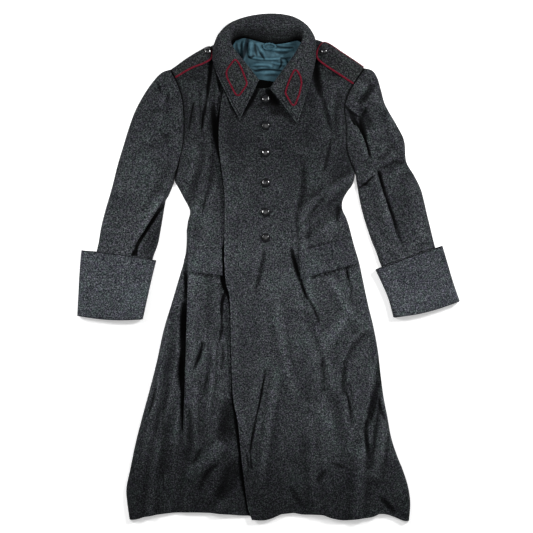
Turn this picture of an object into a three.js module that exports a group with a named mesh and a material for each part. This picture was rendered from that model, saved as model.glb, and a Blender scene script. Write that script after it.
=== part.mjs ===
// A long wool greatcoat, buttoned and laid flat on its back.
// Millimetres, +Z up. The coat lies on z = 0, its collar towards +Y, its hem towards -Y.
// "Right" and "left" are the wearer's: the wearer's right is at -X, and the left front lies on top.

import * as THREE from 'three';

// Cloth walls
const MELTON = 2.8;            // thick milled wool cloth of the coat
const COLLAR_CLOTH = 3.0;      // two layers of the same cloth, pressed
const LINING_CLOTH = 1.0;      // cotton lining
const SEAM = 0.3;              // gap between two pieces at a seam
const HALF = MELTON / 2;

// Heights of the middle of each wall above the floor
const BACK_TOP = MELTON;
const UNDER_REST = BACK_TOP + SEAM + HALF;       // right front where it lies on the back
const OVER_REST = UNDER_REST + MELTON + SEAM;    // left front where it lies on the right front
const FRONT_LOFT = 4.0;        // how far the free parts of the fronts stand off the back
const SIDE_ROLL = 11;          // how far in from a side edge the cloth starts to roll down
const SIDE_SWELL = 4;          // how much fuller the cloth stands beside that roll
const SIDE_SWELL_REACH = 36;
const BACK_INSET = MELTON + SEAM + 2.2;          // the back's edge, inside the rolled fronts
const SLEEVE_UNDER_INSET = 8;
const ARMPIT_TURN = 45;        // above the armpit, where the armhole seam comes down to the floor
const ARMPIT_GAP = 3;
const ARMPIT_CLEAR = 16;
const UNDER_TURN = 1.7 * ARMPIT_TURN;            // the same for the sleeve's lower side
const SEAM_LEAN = 0.7;         // allowance where two walls meet at a slant
const SOFT_TURN = 1.5;         // how softly a height turns where it meets its lower limit
const LEAST_LOFT = 0.4;

// Buttons and trim
const BUTTON_RADIUS = 11;
const BUTTON_HEIGHT = 7;
const BOARD_BUTTON_RADIUS = 8;
const BOARD_BUTTON_HEIGHT = 5.5;
const BUTTON_REST = 0.4;       // share of a button's radius that lies on the cloth
// Radius and height of a button's outline, as shares of its own
const BUTTON_PROFILE = [
  [0, 0], [0.28, 0], [0.28, 0.3], [0.86, 0.36], [1, 0.5], [0.86, 0.78], [0.5, 0.95], [0, 1],
];
const PIPING_RADIUS = 1.8;
const TAB_CORD_GAP = 0.7;
const BOARD_CORD_GAP = 0.5;
const CORD_SIDES = 6;
const BUTTON_SIDES = 10;
const LOOP_STEPS = 8;
const TAB_ROWS = 7;
const BOARD_ROWS = 8;
const TRIM_COLUMNS = 4;
const TAB_CLEARANCE = 0.9;
const TAB_REACH = 1.5;
const BOARD_CLEARANCE = 0.5;
const BOARD_REACH = 6;
const FLAP_REACH = 7;
const BUTTON_LINE_X = -7;

// Where along an armhole the cloth has its sections, from the shoulder to the armpit
const ARMHOLE_STEPS = [0, 0.008, 0.03, 0.07, 0.15, 0.26, 0.38, 0.5, 0.62, 0.74, 0.84, 0.92, 0.97, 1];
const ARMHOLE_COARSE = [0, 0.15, 0.38, 0.62, 0.84, 1];
const SKIRT_ROWS = 27;         // sections of a front below the armpit
const RIGHT_COLUMNS = 13;      // even sections across a front, before the close ones at its side
const LEFT_COLUMNS = 16;
const ROLL_START = 26;         // where the close sections begin, in from the side
const ROLL_SECTIONS = [16, 9, 4, 1.2, 0];
const SHOULDER_TURN = 0.12;    // share of the top over which the neckline gives way to the shoulder

const COLOURS = {
  wool: 0x3b3d41,
  woolLight: 0x45484b,
  woolGreen: 0x35373a,
  lining: 0x3e5862,
  crimson: 0x7a2434,
  button: 0x17191a,
};

// Turns rows of numbers into rows with the named columns.
function table(columns, rows) {
  const names = columns.split(' ');
  return rows.map((row) => Object.fromEntries(names.map((name, k) => [name, row[k]])));
}

// Outline of the right front, the one that lies below: shoulder end, armhole, side and hem corner
const RIGHT_SIDE = table('y x', [
  [485, -239], [451, -222], [407, -209], [358, -206], [301, -209], [257, -221], [216, -230],
  [198, -221], [172, -207], [140, -192], [113, -197], [76, -202], [15, -207], [-20, -217],
  [-78, -234], [-152, -256], [-230, -273], [-294, -289], [-368, -309], [-431, -325],
  [-495, -338], [-541, -347], [-581, -344], [-615, -339],
]);
const RIGHT_ARMPIT_Y = 216;
// The edge of the right front that lies hidden under the left front
const RIGHT_LAP = table('y x', [[451, 48], [44, 53], [-323, 58], [-598, 67]]);
const RIGHT_NECKLINE = table('x y', [
  [48, 451], [-6, 458], [-50, 468], [-85, 495], [-109, 527], [-125, 546],
]);
const RIGHT_SHOULDER = table('x y', [[-125, 546], [-141, 541], [-168, 528], [-205, 507], [-239, 485]]);
const RIGHT_HEM = table('x y', [
  [67, -598], [4, -604], [-55, -605], [-99, -602], [-143, -598], [-202, -597], [-246, -599],
  [-300, -607], [-320, -613], [-339, -615],
]);

// Outline of the left front, the one that lies on top
const LEFT_SIDE = table('y x', [
  [488, 234], [456, 212], [424, 194], [392, 186], [350, 190], [294, 192], [265, 200], [235, 211],
  [206, 206], [186, 192], [164, 181], [142, 181], [123, 190], [98, 198], [59, 208], [15, 221],
  [-22, 229], [-56, 236], [-93, 244], [-142, 256], [-201, 267], [-262, 274], [-316, 281],
  [-363, 290], [-417, 300], [-463, 315], [-495, 328], [-537, 341], [-576, 346], [-618, 343],
]);
const LEFT_ARMPIT_Y = 235;
const LEFT_FREE_EDGE = table('y x', [
  [439, -108], [402, -115], [350, -120], [294, -120], [235, -113], [184, -107], [69, -107],
  [15, -107], [-37, -103], [-66, -95], [-120, -92], [-189, -91], [-274, -88], [-323, -85],
  [-372, -75], [-458, -66], [-502, -61], [-589, -49], [-615, -40],
]);
const LEFT_NECKLINE = table('x y', [
  [-108, 439], [-50, 438], [2, 441], [23, 461], [48, 492], [75, 529], [109, 555],
]);
const LEFT_SHOULDER = table('x y', [
  [109, 555], [119, 555], [151, 543], [187, 519], [214, 502], [234, 488],
]);
const LEFT_HEM = table('x y', [
  [-40, -615], [-11, -616], [9, -611], [33, -601], [58, -598], [85, -602], [131, -603],
  [156, -611], [185, -616], [224, -612], [251, -609], [263, -605], [271, -601], [290, -602],
  [310, -609], [330, -617], [343, -618],
]);

// Folds are soft ridges (height above 0) or troughs (below 0) along a path of three points.
// "left" and "right" are the widths of their two slopes, seen along the path.
const FOLD_COLUMNS = 'x0 y0 x1 y1 x2 y2 left right height';
const RIGHT_FOLDS = table(FOLD_COLUMNS, [
  [-225, 500, -185, 520, -120, 552, 46, 46, 7],
  [-190, 460, -180, 330, -190, 200, 46, 40, 6],
  [-141, 575, -141, 440, -130, 270, 13, 12, -8],
  [-124, 500, -124, 430, -131, 360, 9, 9, 4],
  [-192, 440, -194, 390, -190, 320, 8, 8, 3],
  [-175, 430, -176, 385, -172, 325, 8, 7, 3],
  [-157, 440, -158, 390, -155, 330, 8, 7, 3],
  [-152, 310, -170, 235, -198, 140, 14, 20, -4],
  [-150, 210, -150, 120, -160, 20, 30, 34, 4],
  [-112, -20, -110, -90, -106, -170, 12, 12, -5],
  [-156, -180, -166, -210, -182, -250, 9, 12, -4],
  [-250, -120, -285, -330, -318, -560, 20, 22, 4],
  [-140, -240, -130, -420, -120, -640, 34, 40, 5],
  [-196, -330, -216, -470, -232, -640, 26, 20, -4],
  [-268, -420, -286, -520, -292, -640, 18, 22, 5],
]);
// The front is tucked over the side skirt: the crest's line and how high it stands
const TUCK = table('y x height', [
  [190, -210, 0], [140, -196, 3], [69, -192, 8], [15, -198, 10], [-37, -196, 11], [-78, -193, 12],
  [-127, -195, 12], [-164, -197, 12], [-201, -205, 10], [-250, -211, 8], [-323, -215, 6],
  [-385, -214, 3], [-450, -214, 0],
]);
const TUCK_REACH = 70;
const TUCK_DROP = 7;

const LEFT_FOLDS = table(FOLD_COLUMNS, [
  [105, 556, 165, 530, 232, 490, 46, 46, 7],
  [150, 470, 120, 330, 130, 180, 60, 60, 7],
  [10, 400, 0, 200, 0, 60, 40, 40, 2],
  [175, 440, 163, 380, 160, 300, 16, 16, -4],
  [240, 240, 150, 190, 55, 110, 26, 22, 7],
  [215, 170, 160, 140, 74, 60, 16, 18, -5],
  [64, 140, 56, 50, 86, -90, 14, 9, -7],
  [86, 130, 82, 30, 112, -110, 16, 20, 5],
  [-10, 52, -18, -20, -38, -90, 11, 9, -4],
  [2, -240, -24, -360, -52, -520, 12, 9, -7],
  [24, -250, 0, -380, -24, -560, 18, 20, 4],
  [190, 20, 192, -10, 194, -50, 10, 10, -4],
  [196, -280, 202, -330, 203, -390, 12, 12, -4],
  [272, -250, 262, -350, 244, -500, 22, 20, -8],
  [292, -220, 284, -350, 262, -520, 20, 24, 8],
  [276, -330, 282, -360, 288, -400, 8, 8, -3],
  [120, -140, 130, -360, 150, -650, 50, 50, 6],
  [60, -460, 66, -560, 72, -650, 24, 24, -4],
  [230, -440, 224, -540, 214, -650, 24, 26, 5],
]);
// How far the free edge of the left front stands off the right front
const EDGE_LIFT = table('y height', [
  [439, 1], [400, 5], [340, 8], [280, 8], [210, 5], [120, 4], [20, 4], [-60, 5], [-200, 4],
  [-380, 3], [-615, 2],
]);
const EDGE_REACH = 34;
// Where the fronts stand higher: on the lining below the neck, and under the collar's ends.
// Each rise eases in beyond "from" over the length "over", in x (away from the middle) and in y.
const NECK_RISE = { height: 2.5, fromX: 120, overX: 40, fromY: 400, overY: 25 };
const RIGHT_COLLAR_RISE = { height: 3, fromX: 60, overX: 40, fromY: 470, overY: 70 };
const LEFT_COLLAR_RISE = { height: 3, fromX: 20, overX: 60, fromY: 440, overY: 90 };
// The right front stays flat under the left front and this far beyond its free edge
const COVERED_BEYOND = 4;
const COVERED_TURN = 26;
// The left front steps down to the back this far beyond the right front's hidden edge
const STEP_BEYOND = 12;
const STEP_TURN = 30;
const OVER_LOFT = 1;

// Sleeves: the two ends of each section, from the armhole to the mouth
const SLEEVE_COLUMNS = 'outerX outerY innerX innerY';
const RIGHT_SLEEVE = table(SLEEVE_COLUMNS, [
  [-239, 485, -230, 216], [-261, 478, -232, 211], [-283, 456, -233, 206], [-305, 424, -236, 198],
  [-325, 387, -241, 186], [-341, 345, -247, 172], [-356, 296, -254, 154], [-370, 250, -258, 130],
  [-383, 198, -263, 100], [-398, 147, -268, 71], [-413, 96, -273, 44], [-421, 62, -278, 22],
  [-426, 40, -281, 8], [-437, -8, -291, -29], [-447, -56, -303, -73], [-454, -108, -312, -116],
]);
const LEFT_SLEEVE = table(SLEEVE_COLUMNS, [
  [234, 488, 211, 235], [254, 483, 213, 230], [266, 466, 215, 223], [275, 436, 216, 213],
  [286, 399, 218, 201], [315, 348, 222, 174], [332, 312, 227, 150], [337, 262, 234, 123],
  [356, 228, 241, 100], [371, 198, 249, 76], [383, 164, 257, 49], [396, 118, 265, 20],
  [409, 66, 273, -2], [420, 26, 284, -32], [432, -18, 297, -66], [446, -72, 308, -104],
]);
const SLEEVE_REST = 13;        // middle of the upper wall above the floor
const SLEEVE_AT_CUFF = 17;
const SLEEVE_STEP = 3.7;       // rise of the sleeve where it enters its cuff
const SEAM_BLEND = [1, 0.85, 0.55, 0.25, 0.08];
const SLEEVE_LOWEST = 9.5;
const CUFF_SQUEEZE = 5;        // how much narrower the sleeve is inside its cuff
// Counted in sections of a sleeve
const BOW_SECTIONS = 7;        // over these the sections lose the armhole's bow
const CUFFED_SECTIONS = 7;     // the last ones, which enter the cuff
const EASE_SECTIONS = 2;

const RIGHT_SLEEVE_FOLDS = table(FOLD_COLUMNS, [
  [-250, 170, -300, 100, -352, 10, 12, 60, 6],
  [-240, 190, -290, 80, -320, -10, 26, 26, -5],
  [-330, 330, -350, 250, -372, 150, 20, 26, 3],
  [-232, 330, -262, 300, -318, 290, 22, 20, -3],
  [-240, 440, -262, 400, -272, 340, 20, 24, 3],
]);
const LEFT_SLEEVE_FOLDS = table(FOLD_COLUMNS, [
  [188, 400, 222, 345, 256, 250, 18, 10, 6],
  [204, 400, 238, 350, 262, 240, 16, 22, -8],
  [184, 420, 232, 372, 276, 404, 12, 16, -6],
  [200, 460, 250, 440, 282, 380, 20, 22, 4],
  [262, 250, 276, 180, 330, 30, 10, 30, 6],
  [272, 250, 288, 180, 344, 20, 16, 10, -6],
  [330, 268, 300, 246, 270, 220, 16, 18, -4],
  [216, 210, 236, 206, 250, 196, 6, 8, -3],
  [350, 220, 360, 150, 380, 60, 26, 30, 4],
]);

// Turned-back cuffs: the ends of each section from the free top edge to the mouth
const CUFF_COLUMNS = 'outerX outerY innerX innerY height bow';
const RIGHT_CUFF = table(CUFF_COLUMNS, [
  [-457, 43, -274, 18, 26, -3], [-461, 0, -284, -22, 24, -1], [-464, -54, -295, -71, 24, 2],
  [-467, -112, -306, -121, 23, 4], [-467, -115, -307, -124, 21, 5],
]);
const LEFT_CUFF = table(CUFF_COLUMNS, [
  [425, 54, 261, -4, 26, -2], [438, 10, 277, -38, 24, 0], [452, -37, 293, -76, 24, 3],
  [466, -77, 304, -117, 23, 5], [467, -80, 305, -120, 21, 6],
]);
const CUFF_SIDE_RADIUS = 7;
const CUFF_TOP_POINTS = 9;
const CUFF_BOTTOM_POINTS = 5;
const CUFF_SIDE_ANGLES = [30, 60, 90, 120, 150];
const CUFF_LIP = 4.2;          // how far the folded mouth turns inwards

// Collar: stand foot, roll, side of the fall, and its free edge, from the right end to the left
const COLLAR = table('footX footY footZ rollX rollY rollZ sideX sideY sideZ fallX fallY fallZ', [
  [-31, 446, 12, -24, 458, 25, -46, 413, 23, -70, 365, 16],
  [-47, 463, 12, -41, 479, 31, -64, 439, 30, -88, 397, 18],
  [-66, 483, 13, -58, 500, 36, -83, 467, 35, -106, 434, 19],
  [-84, 504, 14, -75, 520, 40, -102, 494, 39, -123, 470, 20],
  [-96, 526, 15, -89, 539, 43, -117, 521, 40, -134, 505, 20],
  [-96, 546, 14, -94, 556, 44, -123, 548, 37, -135, 534, 17],
  [-84, 562, 10, -93, 575, 41, -119, 571, 28, -123, 561, 7],
  [-62, 568, 7, -74, 587, 40, -94, 596, 22, -84, 577, 1.7],
  [-33, 562, 5.4, -41, 594, 40, -50, 613, 20, -42, 591, 1.5],
  [1, 553, 4.9, 2, 597, 40, 4, 620, 19, 3, 597, 1.5],
  [42, 555, 5.4, 45, 594, 40, 54, 614, 20, 47, 591, 1.5],
  [74, 562, 7, 75, 586, 40, 90, 594, 23, 82, 576, 1.7],
  [86, 557, 10, 85, 572, 41, 109, 566, 30, 110, 553, 5],
  [86, 540, 14, 83, 553, 44, 110, 541, 38, 116, 530, 14],
  [81, 521, 15, 75, 537, 43, 104, 515, 39, 111, 495, 20],
  [69, 500, 14, 63, 517, 40, 92, 484, 37, 102, 456, 20],
  [52, 475, 13, 45, 493, 35, 76, 451, 33, 90, 419, 18],
  [35, 450, 12, 25, 467, 30, 60, 417, 27, 80, 385, 16],
  [15, 428, 11.5, 4, 438, 24, 39, 396, 20, 70, 354, 14],
]);
const COLLAR_SECTIONS = 25;
const COLLAR_STEPS = [0, 0.17, 0.3, 0.38, 0.44, 0.5, 0.6, 0.72, 0.86, 1];
const COLLAR_FINE_STEPS = 40;
const COLLAR_EVENINGS = 4;
const COLLAR_ON_BACK = { from: 0.42, to: 0.58, turn: 0.04 };      // shares of the collar's length
const COLLAR_CLEARANCE = 0.7;
const COLLAR_REACH = 7;

// Collar tabs and shoulder boards, as outlines seen from above
const RIGHT_TAB = {
  outer: table('x y', [[-82, 511], [-100, 486], [-99, 472], [-83, 435], [-77, 423]]),
  inner: table('x y', [[-79, 511], [-74, 503], [-67, 488], [-54, 451], [-72, 422]]),
};
const LEFT_TAB = {
  outer: table('x y', [[67, 486], [75, 472], [78, 455], [72, 425], [63, 399]]),
  inner: table('x y', [[64, 486], [58, 473], [51, 456], [43, 429], [59, 399]]),
};
const TAB_CLOTH = 1.6;
const LEFT_BOARD = {
  upper: table('x y', [[121, 528], [124, 538], [137, 549], [180, 523], [231, 490]]),
  lower: table('x y', [[120, 520], [121, 514], [130, 505], [168, 480], [208, 454]]),
};
const RIGHT_BOARD = {
  upper: table('x y', [[-141, 527], [-143, 541], [-168, 529], [-203, 508], [-235, 486]]),
  lower: table('x y', [[-141, 520], [-143, 512], [-162, 501], [-188, 491], [-228, 469]]),
};
const BOARD_CLOTH = 3.2;
const BOARD_BUTTON_LEFT = { x: 136, y: 528 };
const BOARD_BUTTON_RIGHT = { x: -148, y: 528 };

// Pocket flaps: four corners, top pair first
const LEFT_FLAP = { topIn: [75, 40], topOut: [203, 72], lowIn: [80, -25], lowOut: [215, 11] };
const RIGHT_FLAP = { topIn: [-115, 44], topOut: [-190, 48], lowIn: [-113, -17], lowOut: [-190, -9] };
const FLAP_LIFT = 0.5;
const FLAP_COLUMNS = 8;
const FLAP_ROWS = 4;

const FRONT_BUTTON_YS = [413, 348, 281, 208, 136, 74];

// Lining seen in the neck
const LINING_TOP = table('x y', [
  [-78, 556], [-60, 562], [-33, 556], [1, 547], [42, 549], [70, 556], [80, 551],
]);
// The back's neck edge is wider than the lining's top and lies this far above it
const NECK_WIDER = 1.06;
const NECK_ABOVE = 13;
const HEM_MEET_X = -30;
const LINING_RIGHT = table('y x', [[547, -80], [520, -96], [480, -96], [434, -90]]);
const LINING_LEFT = table('y x', [[547, 80], [520, 90], [480, 86], [434, 82]]);
const LINING_FOOT_Y = 434;
const LINING_FOLDS = table(FOLD_COLUMNS, [
  [-58, 580, -56, 530, -40, 480, 8, 9, 5],
  [-44, 580, -42, 520, -30, 480, 6, 6, -3],
  [-60, 482, -10, 492, 50, 488, 7, 7, 3],
  [-40, 452, 10, 458, 60, 462, 7, 7, 3],
  [-20, 520, 20, 512, 70, 524, 8, 8, 2.5],
]);
// The lining is wrinkled where the neck shows it: from above a line to below another
const LINING_SHOWN = { fromY: 466, toY: 560, easeIn: 20, easeOut: 12, loft: 1.5 };
const LINING_ROWS = 9;
const LINING_COLUMNS = 9;
const LOOP_RADIUS = 1.6;
const LOOP_GAP = 0.6;
const LOOP_PATH = table('x y', [[-17, 545], [-13, 540], [2, 536], [15, 540], [18, 545]]);

function smooth(t) {
  const c = Math.min(1, Math.max(0, t));
  return c * c * (3 - 2 * c);
}

function mix(a, b, t) {
  return a + (b - a) * t;
}

// Cubic through the rows of a table, read at one column's value.
function readAt(rows, key, column, value) {
  const down = rows[0][key] > rows[rows.length - 1][key];
  const list = down ? [...rows].reverse() : rows;
  const last = list.length - 1;
  if (value <= list[0][key]) return list[0][column];
  if (value >= list[last][key]) return list[last][column];
  let k = 0;
  while (value > list[k + 1][key]) k += 1;
  const t = (value - list[k][key]) / (list[k + 1][key] - list[k][key]);
  return cubicSpan(list, k, key, [column], t)[0];
}

// One span of a cubic whose slopes come from the neighbouring rows.
function cubicSpan(list, k, key, columns, t) {
  const a = list[Math.max(0, k - 1)];
  const b = list[k];
  const c = list[k + 1];
  const d = list[Math.min(list.length - 1, k + 2)];
  const span = c[key] - b[key];
  return columns.map((name) => {
    const slopeB = (c[name] - a[name]) / (c[key] - a[key]) * span;
    const slopeC = (d[name] - b[name]) / (d[key] - b[key]) * span;
    const t2 = t * t;
    const t3 = t2 * t;
    return b[name] * (2 * t3 - 3 * t2 + 1) + slopeB * (t3 - 2 * t2 + t)
      + c[name] * (3 * t2 - 2 * t3) + slopeC * (t3 - t2);
  });
}

// A smooth line through the rows of an x, y table, read by its share of the length.
function lineThrough(rows) {
  let length = 0;
  const marked = rows.map((row, k) => {
    if (k > 0) length += Math.hypot(row.x - rows[k - 1].x, row.y - rows[k - 1].y);
    return { ...row, at: length };
  });
  return {
    length,
    at(share) {
      const value = Math.min(1, Math.max(0, share)) * length;
      return { x: readAt(marked, 'at', 'x', value), y: readAt(marked, 'at', 'y', value) };
    },
  };
}

// Signed distance (left is positive) and share of the way, from a point to a fold's path.
function alongPath(fold, x, y) {
  const steps = 8;
  let best = { distance: Infinity, side: 1, share: 0 };
  let previous = [fold.x0, fold.y0];
  for (let k = 1; k <= steps; k += 1) {
    const t = k / steps;
    const a = (1 - t) * (1 - t);
    const b = 2 * t * (1 - t);
    const c = t * t;
    const px = a * fold.x0 + b * fold.x1 + c * fold.x2;
    const py = a * fold.y0 + b * fold.y1 + c * fold.y2;
    const dx = px - previous[0];
    const dy = py - previous[1];
    const along = ((x - previous[0]) * dx + (y - previous[1]) * dy) / (dx * dx + dy * dy);
    const w = Math.min(1, Math.max(0, along));
    const distance = Math.hypot(x - previous[0] - w * dx, y - previous[1] - w * dy);
    if (distance < best.distance) {
      const cross = dx * (y - previous[1]) - dy * (x - previous[0]);
      best = { distance, side: cross >= 0 ? 1 : -1, share: (k - 1 + w) / steps };
    }
    previous = [px, py];
  }
  return best;
}

// Height that a table of folds adds at a point: each is a bell across and fades at its ends.
function foldHeight(folds, x, y) {
  let height = 0;
  for (const fold of folds) {
    const { distance, side, share } = alongPath(fold, x, y);
    const width = side > 0 ? fold.left : fold.right;
    if (distance < width) {
      const across = 0.5 * (1 + Math.cos(Math.PI * distance / width));
      height += fold.height * across * Math.sqrt(Math.sin(Math.PI * share));
    }
  }
  return height;
}

// A quarter round: 0 at an edge that touches the floor, 1 from the given distance inwards.
function rollDown(distance, reach) {
  const t = Math.min(1, Math.max(0, distance / reach));
  return Math.sqrt(1 - (1 - t) * (1 - t));
}

// Keeps a height above a lower limit with a soft turn.
function softFloor(value, limit) {
  const over = value - limit;
  return limit + 0.5 * (over + Math.sqrt(over * over + SOFT_TURN * SOFT_TURN)) - 0.25 * SOFT_TURN;
}

// 1 where a front's side rolls down to the floor, 0 where it is sewn to the sleeve.
function belowArmpit(y, armpitY) {
  return 1 - smooth((y - armpitY) / ARMPIT_TURN);
}

// The cloth stands fuller just inside a rolled side.
function sideSwell(side, armpitY, x, y) {
  const fromSide = Math.abs(readAt(side, 'y', 'x', y) - x);
  return SIDE_SWELL * belowArmpit(y, armpitY) * (1 - smooth(fromSide / SIDE_SWELL_REACH));
}

// Height that one of the rises adds at a point: the distance from the middle counts as x.
function riseAt(rise, x, y) {
  const acrossX = smooth((x - rise.fromX) / rise.overX);
  return rise.height * acrossX * smooth((y - rise.fromY) / rise.overY);
}

// Both fronts lie on the lining below the neck; the rise ends beside it.
function neckRise(x, y) {
  const { height, fromX, overX, fromY, overY } = NECK_RISE;
  return height * smooth((y - fromY) / overY) * (1 - smooth((Math.abs(x) - fromX) / overX));
}

function rightFrontHeight(x, y) {
  const edge = readAt(LEFT_FREE_EDGE, 'y', 'x', y);
  const free = smooth((edge - COVERED_BEYOND - x) / COVERED_TURN);
  const d = x - readAt(TUCK, 'y', 'x', y);
  const crest = readAt(TUCK, 'y', 'height', y);
  const tuck = d > 0 ? 1 - smooth(d / TUCK_REACH) : 1 - smooth(-d / TUCK_DROP);
  const loft = FRONT_LOFT + foldHeight(RIGHT_FOLDS, x, y) + crest * tuck;
  const rises = riseAt(RIGHT_COLLAR_RISE, -x, y) + neckRise(x, y);
  const swell = sideSwell(RIGHT_SIDE, RIGHT_ARMPIT_Y, x, y);
  return UNDER_REST + free * Math.max(0, softFloor(loft, LEAST_LOFT)) + rises + swell;
}

function leftFrontHeight(x, y) {
  const lap = readAt(RIGHT_LAP, 'y', 'x', y);
  const edge = readAt(LEFT_FREE_EDGE, 'y', 'x', y);
  const lift = readAt(EDGE_LIFT, 'y', 'height', y) * (1 - smooth((x - edge) / EDGE_REACH));
  const height = OVER_REST + OVER_LOFT + foldHeight(LEFT_FOLDS, x, y) + lift;
  const rest = mix(OVER_REST, UNDER_REST, smooth((x - lap - STEP_BEYOND) / STEP_TURN)) + SEAM;
  const rises = riseAt(LEFT_COLLAR_RISE, x, y) + neckRise(x, y);
  const swell = sideSwell(LEFT_SIDE, LEFT_ARMPIT_Y, x, y);
  return softFloor(height, rest) + rises + swell;
}

function rightSleeveHeight(x, y) {
  return softFloor(SLEEVE_REST + foldHeight(RIGHT_SLEEVE_FOLDS, x, y), SLEEVE_LOWEST);
}

function leftSleeveHeight(x, y) {
  return softFloor(SLEEVE_REST + foldHeight(LEFT_SLEEVE_FOLDS, x, y), SLEEVE_LOWEST);
}

// A closed wall of even thickness on both sides of a grid of points.
// floorColumns and floorRows list edges that stand on the floor and are cut level with it.
function wallGeometry(grid, thickness, { around = false, floorColumns = [], floorRow = -1 } = {}) {
  const rows = grid.length;
  const columns = grid[0].length;
  const positions = [];
  const column = (j) => (around ? (j + columns) % columns : Math.min(columns - 1, Math.max(0, j)));
  const row = (i) => Math.min(rows - 1, Math.max(0, i));
  for (const sign of [1, -1]) {
    for (let i = 0; i < rows; i += 1) {
      for (let j = 0; j < columns; j += 1) {
        const point = grid[i][j];
        const acrossVector = new THREE.Vector3().subVectors(grid[i][column(j + 1)], grid[i][column(j - 1)]);
        const alongVector = new THREE.Vector3().subVectors(grid[row(i + 1)][j], grid[row(i - 1)][j]);
        const normal = new THREE.Vector3().crossVectors(alongVector, acrossVector).normalize();
        const standing = point.z === 0 && (floorColumns.includes(j) || floorRow === i);
        if (standing) normal.setZ(0).normalize();
        const moved = point.clone().addScaledVector(normal, sign * thickness / 2);
        positions.push(moved.x, moved.y, Math.max(0, moved.z));
      }
    }
  }
  const side = rows * columns;
  const at = (layer, i, j) => layer * side + i * columns + column(j);
  const index = [];
  const quad = (a, b, c, d) => index.push(a, b, c, a, c, d);
  const spans = around ? columns : columns - 1;
  for (let i = 0; i < rows - 1; i += 1) {
    for (let j = 0; j < spans; j += 1) {
      quad(at(0, i, j), at(0, i + 1, j), at(0, i + 1, j + 1), at(0, i, j + 1));
      quad(at(1, i, j), at(1, i, j + 1), at(1, i + 1, j + 1), at(1, i + 1, j));
    }
  }
  for (let j = 0; j < spans; j += 1) {
    quad(at(0, 0, j), at(0, 0, j + 1), at(1, 0, j + 1), at(1, 0, j));
    quad(at(0, rows - 1, j), at(1, rows - 1, j), at(1, rows - 1, j + 1), at(0, rows - 1, j + 1));
  }
  if (!around) {
    const end = columns - 1;
    for (let i = 0; i < rows - 1; i += 1) {
      quad(at(0, i, 0), at(1, i, 0), at(1, i + 1, 0), at(0, i + 1, 0));
      quad(at(0, i, end), at(0, i + 1, end), at(1, i + 1, end), at(1, i, end));
    }
  }
  return closedGeometry(positions, index);
}

// A geometry from points and triangles, turned so that its faces point out.
function closedGeometry(positions, index) {
  let volume = 0;
  const point = (k) => new THREE.Vector3().fromArray(positions, 3 * k);
  for (let k = 0; k < index.length; k += 3) {
    volume += point(index[k]).dot(point(index[k + 1]).cross(point(index[k + 2])));
  }
  if (volume < 0) index.reverse();
  const geometry = new THREE.BufferGeometry();
  geometry.setAttribute('position', new THREE.Float32BufferAttribute(positions, 3));
  geometry.setIndex(index);
  geometry.computeVertexNormals();
  return geometry;
}

const LEAST_AREA = 0.01;       // facets seen edge-on cover nothing
const STEEPEST = 0.5;          // limits how far a slant or a corner moves a point

// Height of the upper face of a wall over one point, from the wall's own flat facets.
function facetTop(grid, half, x, y) {
  let top = -Infinity;
  for (let i = 0; i + 1 < grid.length; i += 1) {
    for (let j = 0; j + 1 < grid[0].length; j += 1) {
      const corners = [grid[i][j], grid[i + 1][j], grid[i + 1][j + 1], grid[i][j + 1]];
      for (const [a, b, c] of [[corners[0], corners[1], corners[2]], [corners[0], corners[2], corners[3]]]) {
        const area = (b.x - a.x) * (c.y - a.y) - (c.x - a.x) * (b.y - a.y);
        if (Math.abs(area) < LEAST_AREA) continue;
        const v = ((x - a.x) * (c.y - a.y) - (c.x - a.x) * (y - a.y)) / area;
        const w = ((b.x - a.x) * (y - a.y) - (x - a.x) * (b.y - a.y)) / area;
        if (v < 0 || w < 0 || v + w > 1) continue;
        const normal = new THREE.Vector3().crossVectors(b.clone().sub(a), c.clone().sub(a)).normalize();
        const rise = half / Math.max(STEEPEST, Math.abs(normal.z));
        top = Math.max(top, a.z + v * (b.z - a.z) + w * (c.z - a.z) + rise);
      }
    }
  }
  return top;
}

// The highest upper face within a small square round a point.
function highestTop(grids, half, x, y, reach) {
  let top = -Infinity;
  for (const grid of grids) {
    for (const dx of [-reach, 0, reach]) {
      for (const dy of [-reach, 0, reach]) top = Math.max(top, facetTop(grid, half, x + dx, y + dy));
    }
  }
  return top;
}

const coat = new THREE.Group();
coat.name = 'greatcoat';

function addPiece(name, geometry, colour, roughness = 0.95) {
  const material = new THREE.MeshStandardMaterial({ color: colour, roughness });
  const mesh = new THREE.Mesh(geometry, material);
  mesh.name = name;
  coat.add(mesh);
}

// Fractions of the way down a front's side: through the armhole, then evenly to the hem.
function frontRows(side, armpitY) {
  const top = side[0].y;
  const bottom = side[side.length - 1].y;
  const levels = ARMHOLE_STEPS.map((step) => step * (top - armpitY) / (top - bottom));
  const armpit = levels[levels.length - 1];
  for (let k = 1; k <= SKIRT_ROWS; k += 1) levels.push(mix(armpit, 1, k / SKIRT_ROWS));
  return levels;
}

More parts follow.
